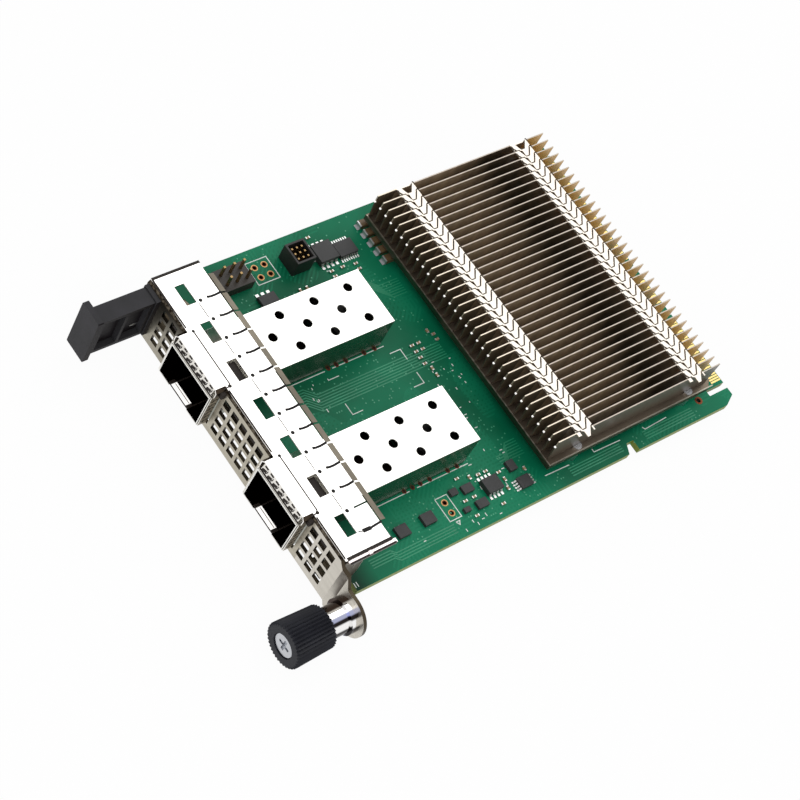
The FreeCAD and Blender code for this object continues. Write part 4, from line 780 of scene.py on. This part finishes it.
def capacitor_solder():
    """Tinned pads and ends at the front of the ceramic capacitors."""
    front, top = CAPACITOR_LOW.y, CAPACITOR_HIGH.z
    pads = [((x - 0.7, x + 0.7), (front - 0.5, front + 0.2), (0.0, 0.12)) for x in CAPACITOR_MIDDLES]
    blocks("capacitor_pads", pads, LID, bevel=0.04)
    half = CAPACITOR_HALF + 0.03
    ends = [((x - half, x + half), (front - 0.06, front + 0.34), (0.02, top + 0.04))
            for x in CAPACITOR_MIDDLES]
    blocks("capacitor_ends", ends, LID, bevel=0.08)


def part_ends():
    """Tinned ends of the small parts, wrapped just over their bodies."""
    inner, outer, half = 0.28, 0.53, 0.28
    ends = []
    for middle, along_y in small_part_places(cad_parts["small_parts"].data):
        for sign in (-1, 1):
            reach = sorted((sign * inner, sign * outer))
            wide, long = ((-half, half), reach) if along_y else (reach, (-half, half))
            ends.append(([middle.x + x for x in wide], [middle.y + y for y in long], (0.02, 0.43)))
    blocks("small_part_ends", ends, TIN, bevel=0.03)


def small_part_places(mesh):
    """Middle of each block of a node, in the board frame, and whether it lies along Y."""
    parents = list(range(len(mesh.vertices)))

    def root(index):
        while parents[index] != index:
            index = parents[index]
        return index

    by_place = {}
    for vertex in mesh.vertices:
        key = tuple(round(value, 6) for value in vertex.co)
        parents[vertex.index] = by_place.setdefault(key, vertex.index)
    for edge in mesh.edges:
        one, other = root(edge.vertices[0]), root(edge.vertices[1])
        if one != other:
            parents[one] = other
    groups = {}
    for vertex in mesh.vertices:
        groups.setdefault(root(vertex.index), []).append((vertex.co - ORIGIN) / MM)
    places = []
    for corners in groups.values():
        low = Vector(min(corner[axis] for corner in corners) for axis in (X, Y, Z))
        high = Vector(max(corner[axis] for corner in corners) for axis in (X, Y, Z))
        places.append(((low + high) / 2, high.y - low.y > high.x - low.x))
    return places


def chip_marks():
    """A moulded dot on each larger chip."""
    for name in ("memory_chip", "interface_chip", "clock_chip", "power_chip", "monitor_chip"):
        low, high = span(name)
        discs(f"{name}_dot", [(low.x + 0.55, low.y + 0.6)], 0.24, CONNECTOR,
              low=high.z - 0.02, high=high.z + 0.012)


# Shields and cages

def gasket_place(middle):
    """Places on the sloped top of a cage's gasket: u across it, v up its slope from 0 to 1."""
    foot_y, foot_z = GASKET_FOOT
    lean, rise = GASKET_RISE

    def place(u, v, lift):
        return at(middle + u, foot_y + lean * v - lift, foot_z + rise * v + 0.25 * lift)
    return place


def gasket_side_place(middle):
    """Places on the right side of the gasket's hoop: u to the rear, v up."""
    def place(u, v, lift):
        return at(middle + GASKET_HALF + lift, -2.3 + u, v)
    return place


def gasket_lines():
    """Dark gaps between the gasket's spring fingers: a chain on the slope and rungs on the side."""
    chain, cells, rungs = [[(-6.5, 0.16), (6.5, 0.16)]], [], []
    for step in range(7):
        start = -6.3 + 1.82 * step
        cells.append([(start + 0.1, 0.34), (start + 1.25, 0.5)])
        chain.append([(start + 1.2, 0.3), (start + 1.5, 0.52), (start + 1.45, 0.72)])
        chain.append([(start + 0.3, 0.86), (start + 1.3, 0.86)])
    for step in range(6):
        height = 0.9 + 1.45 * step
        rungs.append([(0.15, height + 0.5), (0.8, height), (1.5, height + 0.7), (2.1, height + 0.2)])
        rungs.append([(0.8, height), (0.9, height + 0.8)])
    for side, middle in zip(("left", "right"), PORT_MIDDLES):
        slope = gasket_place(middle)
        ribbons(f"gasket_gaps_{side}", chain, 0.14, GAP_BROWN, low=-0.02, high=0.02, place=slope)
        ribbons(f"gasket_cells_{side}", cells, 0.26, GAP_BROWN, low=-0.02, high=0.024, place=slope)
        ribbons(f"gasket_side_gaps_{side}", rungs, 0.2, GAP_BROWN, low=-0.02, high=0.02,
                place=gasket_side_place(middle))


def port_details():
    """Each cage's floor and the steps beside its latch, dark with painted shade; the bright tip of its latch
    tongue as a glowing painted highlight; and painted shade on the corner of its hump.
    """
    floors, tips, lines, steps, shades = [], [], [], [], []
    for middle in PORT_MIDDLES:
        floors.append(((middle - 6.6, middle + 6.6), (-2.2, 7.0), (0.02, 0.1)))
        tips.append(((middle - 2.9, middle + 2.5), (-2.1, -0.7), (0.28, 0.36)))
        lines.append([(middle - 2.7, -1.2), (middle + 2.3, -1.2)])
        steps.append(((middle - 3.6, middle - 2.9), (-2.25, -0.9), (0.28, 0.6)))
        steps.append(((middle + 2.5, middle + 3.2), (-2.25, -0.9), (0.28, 0.6)))
        shades.append(((middle + 7.25, middle + 8.3), (-1.0, 0.3), (10.1, 11.6)))
    # Painted shade: dark floors, steps and hump corners; the latch tips glow as a painted highlight.
    blocks("port_floor_shades", floors, GAP_BROWN, bevel=0.02)
    blocks("latch_tips", tips, GLOWING_HIGHLIGHT, bevel=0.04)
    ribbons("latch_lines", lines, 0.14, COPPER, low=0.34, high=0.38)
    blocks("latch_steps", steps, GAP_BROWN, bevel=0.04)
    blocks("hump_corner_shades", shades, GAP_BROWN, bevel=0.3)


def strip_lines(name, paths, width, material, rise):
    """Lines let into the top strip, so that only their upper faces stand above the sheet."""
    ribbons(name, paths, width, material, low=STRIP_TOP - SINK, high=STRIP_TOP + rise)


def curved_slit(middle):
    """Line of a slit between two fingers: it starts to the left and curves on its way to the rear."""
    return [(middle - 0.2, 8.75), (middle + 0.02, 9.5), (middle + 0.06, 10.6), (middle - 0.1, 12.25)]


def strip_slits():
    """The slits between the fingers, the dots at their front ends, and the folds between the dots."""
    strip_lines("strip_slits", [curved_slit(middle) for middle in SLIT_MIDDLES[:-1]], 0.52, GAP_BLACK, 0.02)
    discs("slit_dots", [(middle, 7.1) for middle in SLIT_MIDDLES], 0.42, GAP_BLACK,
          low=STRIP_TOP - SINK, high=STRIP_TOP + 0.015)
    folds = [[(left + 0.5, 6.4), (left + SLIT_PITCH - 0.7, 6.4)] for left in SLIT_MIDDLES[0:11:2]]
    ribbons("strip_folds", folds, 0.2, GAP_BROWN, low=STRIP_TOP - 0.05, high=STRIP_TOP)


def strip_edges():
    """Shaded ends and front edge of the strip, and the seams of the humps over the ports."""
    start, end = STRIP_LEFT + 0.25, STRIP_RIGHT - 0.3
    ends = [[(start, 0.5), (start, 12.1)], [(end, 0.9), (end, 12.1)]]
    strip_lines("strip_ends", ends, 0.62, GAP_BROWN, 0.025)
    fronts = [[(left, 0.62), (right, 0.62)] for left, right in (
        (STRIP_LEFT + 0.4, -21.4), (-5.9, 9.2), (24.8, STRIP_RIGHT - 0.6))]
    strip_lines("strip_front_edge", fronts, 0.34, GAP_BROWN, 0.025)
    humps = [[(middle - 6.4, 1.6), (middle + 6.5, 1.6), (middle + 7.1, 1.2), (middle + 7.2, -0.2)]
             for middle in PORT_MIDDLES]
    strip_lines("hump_seams", humps, 0.28, GAP_BROWN, 0.025)
    discs("hump_corners", [(middle + 7.05, 1.35) for middle in PORT_MIDDLES], 0.4, GAP_BROWN,
          low=STRIP_TOP - 0.05, high=STRIP_TOP + 0.02)
    discs("hump_dots", [(middle - 6.5, 1.6) for middle in PORT_MIDDLES], 0.34, GAP_BLACK,
          low=STRIP_TOP - 0.05, high=STRIP_TOP + 0.02)


def strip_wedge():
    """The wedge-shaped opening near the strip's right end."""
    strip_lines("strip_wedge_tip", [[(30.9, 6.5), (31.3, 7.6)]], 0.24, GAP_BLACK, 0.015)
    strip_lines("strip_wedge", [[(31.2, 7.4), (31.3, 9.4)]], 0.85, GAP_BLACK, 0.026)
    strip_lines("strip_wedge_end", [[(31.3, 9.3), (31.05, 12.2)]], 0.5, GAP_BLACK, 0.022)


def clip_place(u, v, lift):
    """Places on the side clip's outer face: u to the rear, v up."""
    return at(STRIP_RIGHT + lift, u, v)


def strip_lip():
    """The bright rod along the strip's right lip, the gap under it, dark with painted shade, and a painted
    highlight on the rim of the side clip.
    """
    rod, gap = STRIP_RIGHT + 0.35, STRIP_RIGHT + 0.7
    ribbons("strip_rod", [[(rod, 0.9), (rod, 12.4)]], 0.42, ROD,
            low=STRIP_TOP - 0.3, high=STRIP_TOP - 0.1)
    # Painted shade in the gap under the rod.
    ribbons("strip_rod_gap", [[(gap, 1.2), (gap, 12.6)]], 0.44, GAP_BROWN,
            low=STRIP_TOP - 0.34, high=STRIP_TOP - 0.25)
    rim = [[(6.0, 1.0), (6.4, 4.4), (6.2, 8.4), (5.5, 10.6)], [(1.2, 10.4), (4.2, 9.2), (4.6, 6.0)]]
    ribbons("clip_rim", rim, 0.3, EDGE_HIGHLIGHT, low=-0.02, high=0.05, place=clip_place)
    clip = ((STRIP_RIGHT - 0.1, STRIP_RIGHT + 0.8), (5.7, 6.7), (STRIP_TOP - 0.4, STRIP_TOP))
    blocks("rod_clip", [clip], ROD, bevel=0.15)


def finger_tails():
    """The rear end of each spring finger, which slopes down onto the cages, greyer with painted shade."""
    limits = [TAILS_FROM] + SLIT_MIDDLES[:11] + [TAILS_TO]
    corners, faces = [], []
    outline = ((TAIL_START, STRIP_TOP), (TAIL_START + 1.55, STRIP_TOP - 0.65),
               (TAIL_START + 1.5, STRIP_TOP - 0.85), (TAIL_START, STRIP_TOP - 0.25))
    for left, right in zip(limits, limits[1:]):
        start = len(corners)
        for x in (left + 0.2, right - 0.2):
            corners += [at(x, y, z) for y, z in outline]
        faces += [(start + 3, start + 2, start + 1, start), (start + 4, start + 5, start + 6, start + 7)]
        faces += tube_faces(start, 4, 0, 1)
    soften(new_piece("finger_tails", corners, faces, TAIL), 0.06)


def window_shades():
    """A dark sheet of painted shade in the gap under the two windows that lie over the cages."""
    boxes = [((x, x + 4.7), (3.9, 6.0), (STRIP_TOP - 1.0, STRIP_TOP - 0.85)) for x in (-11.5, 16.9)]
    blocks("window_shades", boxes, GAP_BROWN, bevel=0.1)


# Heatsink

def tab_seams():
    """Dark lines round the blocks of the zipper bands, and the gap behind each fin's line."""
    seams, gaps, notches = [], [], []
    for start in BAND_STARTS:
        for step in range(FIN_COUNT - 1):
            x = FIN_FIRST + FIN_PITCH * step
            seams.append([(x + 0.12, start + 4.3), (x + 1.95, start + 2.88), (x + 1.95, start + 1.9)])
            seams.append([(x + 1.95, start + 0.1), (x + 1.95, start + 1.4)])
            gaps.append([(x - 0.25, start + BAND_LONG + 0.12), (x + 0.55, start + BAND_LONG + 0.12)])
            notches.append([(x + 0.45, start + 0.02), (x + 1.2, start + 0.1), (x + 1.85, start + 0.5)])
    top = FIN_HIGH.z
    ribbons("tab_seams", seams, 0.2, GAP_FIN, low=top - 0.02, high=top + 0.014)
    ribbons("fin_gaps", gaps, 0.3, GAP_FIN, low=top - 0.2, high=top + 0.014)
    ribbons("tab_notches", notches, 0.42, GAP_FIN, low=top - 0.02, high=top + 0.013)


def fin_front_place(u, v, lift):
    """Places on the plane of the fins' front edges: u across, v up."""
    return at(u, FIN_LOW.y - lift, v)


def fin_front_beads():
    """Glowing painted highlights on the folded points of each fin's front edge, and a painted highlight line
    along the base's front and right edges.
    """
    beads = [(FIN_FIRST + FIN_PITCH * step + 0.12, BEAD_HEIGHT) for step in range(FIN_COUNT)]
    discs("fin_beads", beads, 0.24, GLOWING_HIGHLIGHT, low=-0.12, high=0.1, sides=8, place=fin_front_place)
    low, high = span("heatsink_base")
    edge = [[(low.x + 0.2, low.y + 0.16), (high.x - 0.16, low.y + 0.16), (high.x - 0.16, high.y - 0.2)]]
    ribbons("base_edge_highlight", edge, 0.26, EDGE_HIGHLIGHT, low=high.z - 0.02, high=high.z + 0.03)


# Light, floor and camera

def white_to_camera(tree, shaded, strength):
    """Mix a shader with plain white where the camera, a gloss or a clear surface looks at it."""
    path = tree.nodes.new("ShaderNodeLightPath")
    seen = path.outputs["Is Camera Ray"]
    for ray in ("Is Glossy Ray", "Is Transmission Ray"):
        either = tree.nodes.new("ShaderNodeMath")
        either.operation = "MAXIMUM"
        tree.links.new(seen, either.inputs[0])
        tree.links.new(path.outputs[ray], either.inputs[1])
        seen = either.outputs[0]
    weight = tree.nodes.new("ShaderNodeMath")
    weight.operation = "MULTIPLY"
    weight.inputs[1].default_value = strength
    tree.links.new(seen, weight.inputs[0])
    mix = tree.nodes.new("ShaderNodeMixShader")
    tree.links.new(weight.outputs[0], mix.inputs[0])
    tree.links.new(shaded, mix.inputs[1])
    return mix


def make_world():
    """Plain white where it is seen, and a softer grey as light."""
    world = bpy.data.worlds.new("studio")
    bpy.context.scene.world = world
    world.use_nodes = True
    tree = world.node_tree
    background = tree.nodes["Background"]
    background.inputs["Color"].default_value = (0.62, 0.62, 0.63, 1)
    white = tree.nodes.new("ShaderNodeBackground")
    white.inputs["Color"].default_value = (1, 1, 1, 1)
    mix = white_to_camera(tree, background.outputs[0], 1.0)
    tree.links.new(white.outputs[0], mix.inputs[2])
    tree.links.new(mix.outputs[0], tree.nodes["World Output"].inputs["Surface"])


def make_floor():
    """A white floor that keeps the card's shadow."""
    reach = 1.5
    mesh = bpy.data.meshes.new("floor")
    mesh.from_pydata([(-reach, -reach, 0), (reach, -reach, 0), (reach, reach, 0), (-reach, reach, 0)],
                     [], [(0, 1, 2, 3)])
    floor = bpy.data.objects.new("floor", mesh)
    bpy.context.collection.objects.link(floor)
    material = bpy.data.materials.new("floor_white")
    material.use_nodes = True
    tree = material.node_tree
    surface = tree.nodes["Principled BSDF"]
    surface.inputs["Base Color"].default_value = (0.9, 0.9, 0.9, 1)
    surface.inputs["Roughness"].default_value = 0.9
    glow = tree.nodes.new("ShaderNodeEmission")
    mix = white_to_camera(tree, surface.outputs[0], 0.96)
    tree.links.new(glow.outputs[0], mix.inputs[2])
    tree.links.new(mix.outputs[0], tree.nodes["Material Output"].inputs["Surface"])
    mesh.materials.append(material)


def area_light(name, place, size, power):
    """A soft lamp that looks at the card's middle."""
    data = bpy.data.lights.new(name, "AREA")
    data.size = size
    data.energy = power
    lamp = bpy.data.objects.new(name, data)
    lamp.location = place
    lamp.rotation_euler = (-Vector(place)).to_track_quat("-Z", "Y").to_euler()
    bpy.context.collection.objects.link(lamp)


def make_camera():
    """The photograph's camera."""
    data = bpy.data.cameras.new("camera")
    data.sensor_width = 36
    data.lens = CAMERA_LENS
    data.clip_start = 0.01
    camera = bpy.data.objects.new("camera", data)
    right, down, ahead = (Vector(row) for row in (CAMERA_RIGHT, CAMERA_DOWN, CAMERA_AHEAD))
    turn = Matrix((right, -down, -ahead)).transposed().to_4x4()
    camera.matrix_world = Matrix.Translation(at(*CAMERA_PLACE)) @ turn
    bpy.context.collection.objects.link(camera)
    bpy.context.scene.camera = camera


dress_nodes()
soften_nodes()
print_silk()
copper_rings()
scatter_vias()
copper_runs()
capacitor_solder()
part_ends()
chip_marks()
gasket_lines()
port_details()
strip_slits()
strip_edges()
strip_wedge()
strip_lip()
finger_tails()
window_shades()
tab_seams()
fin_front_beads()
make_world()
make_floor()
area_light("key", (-0.19, 0.36, 0.56), 0.5, 1.0)
area_light("fill", (0.25, -0.35, 0.5), 0.5, 0.9)
make_camera()
bpy.context.scene.view_settings.view_transform = "Standard"
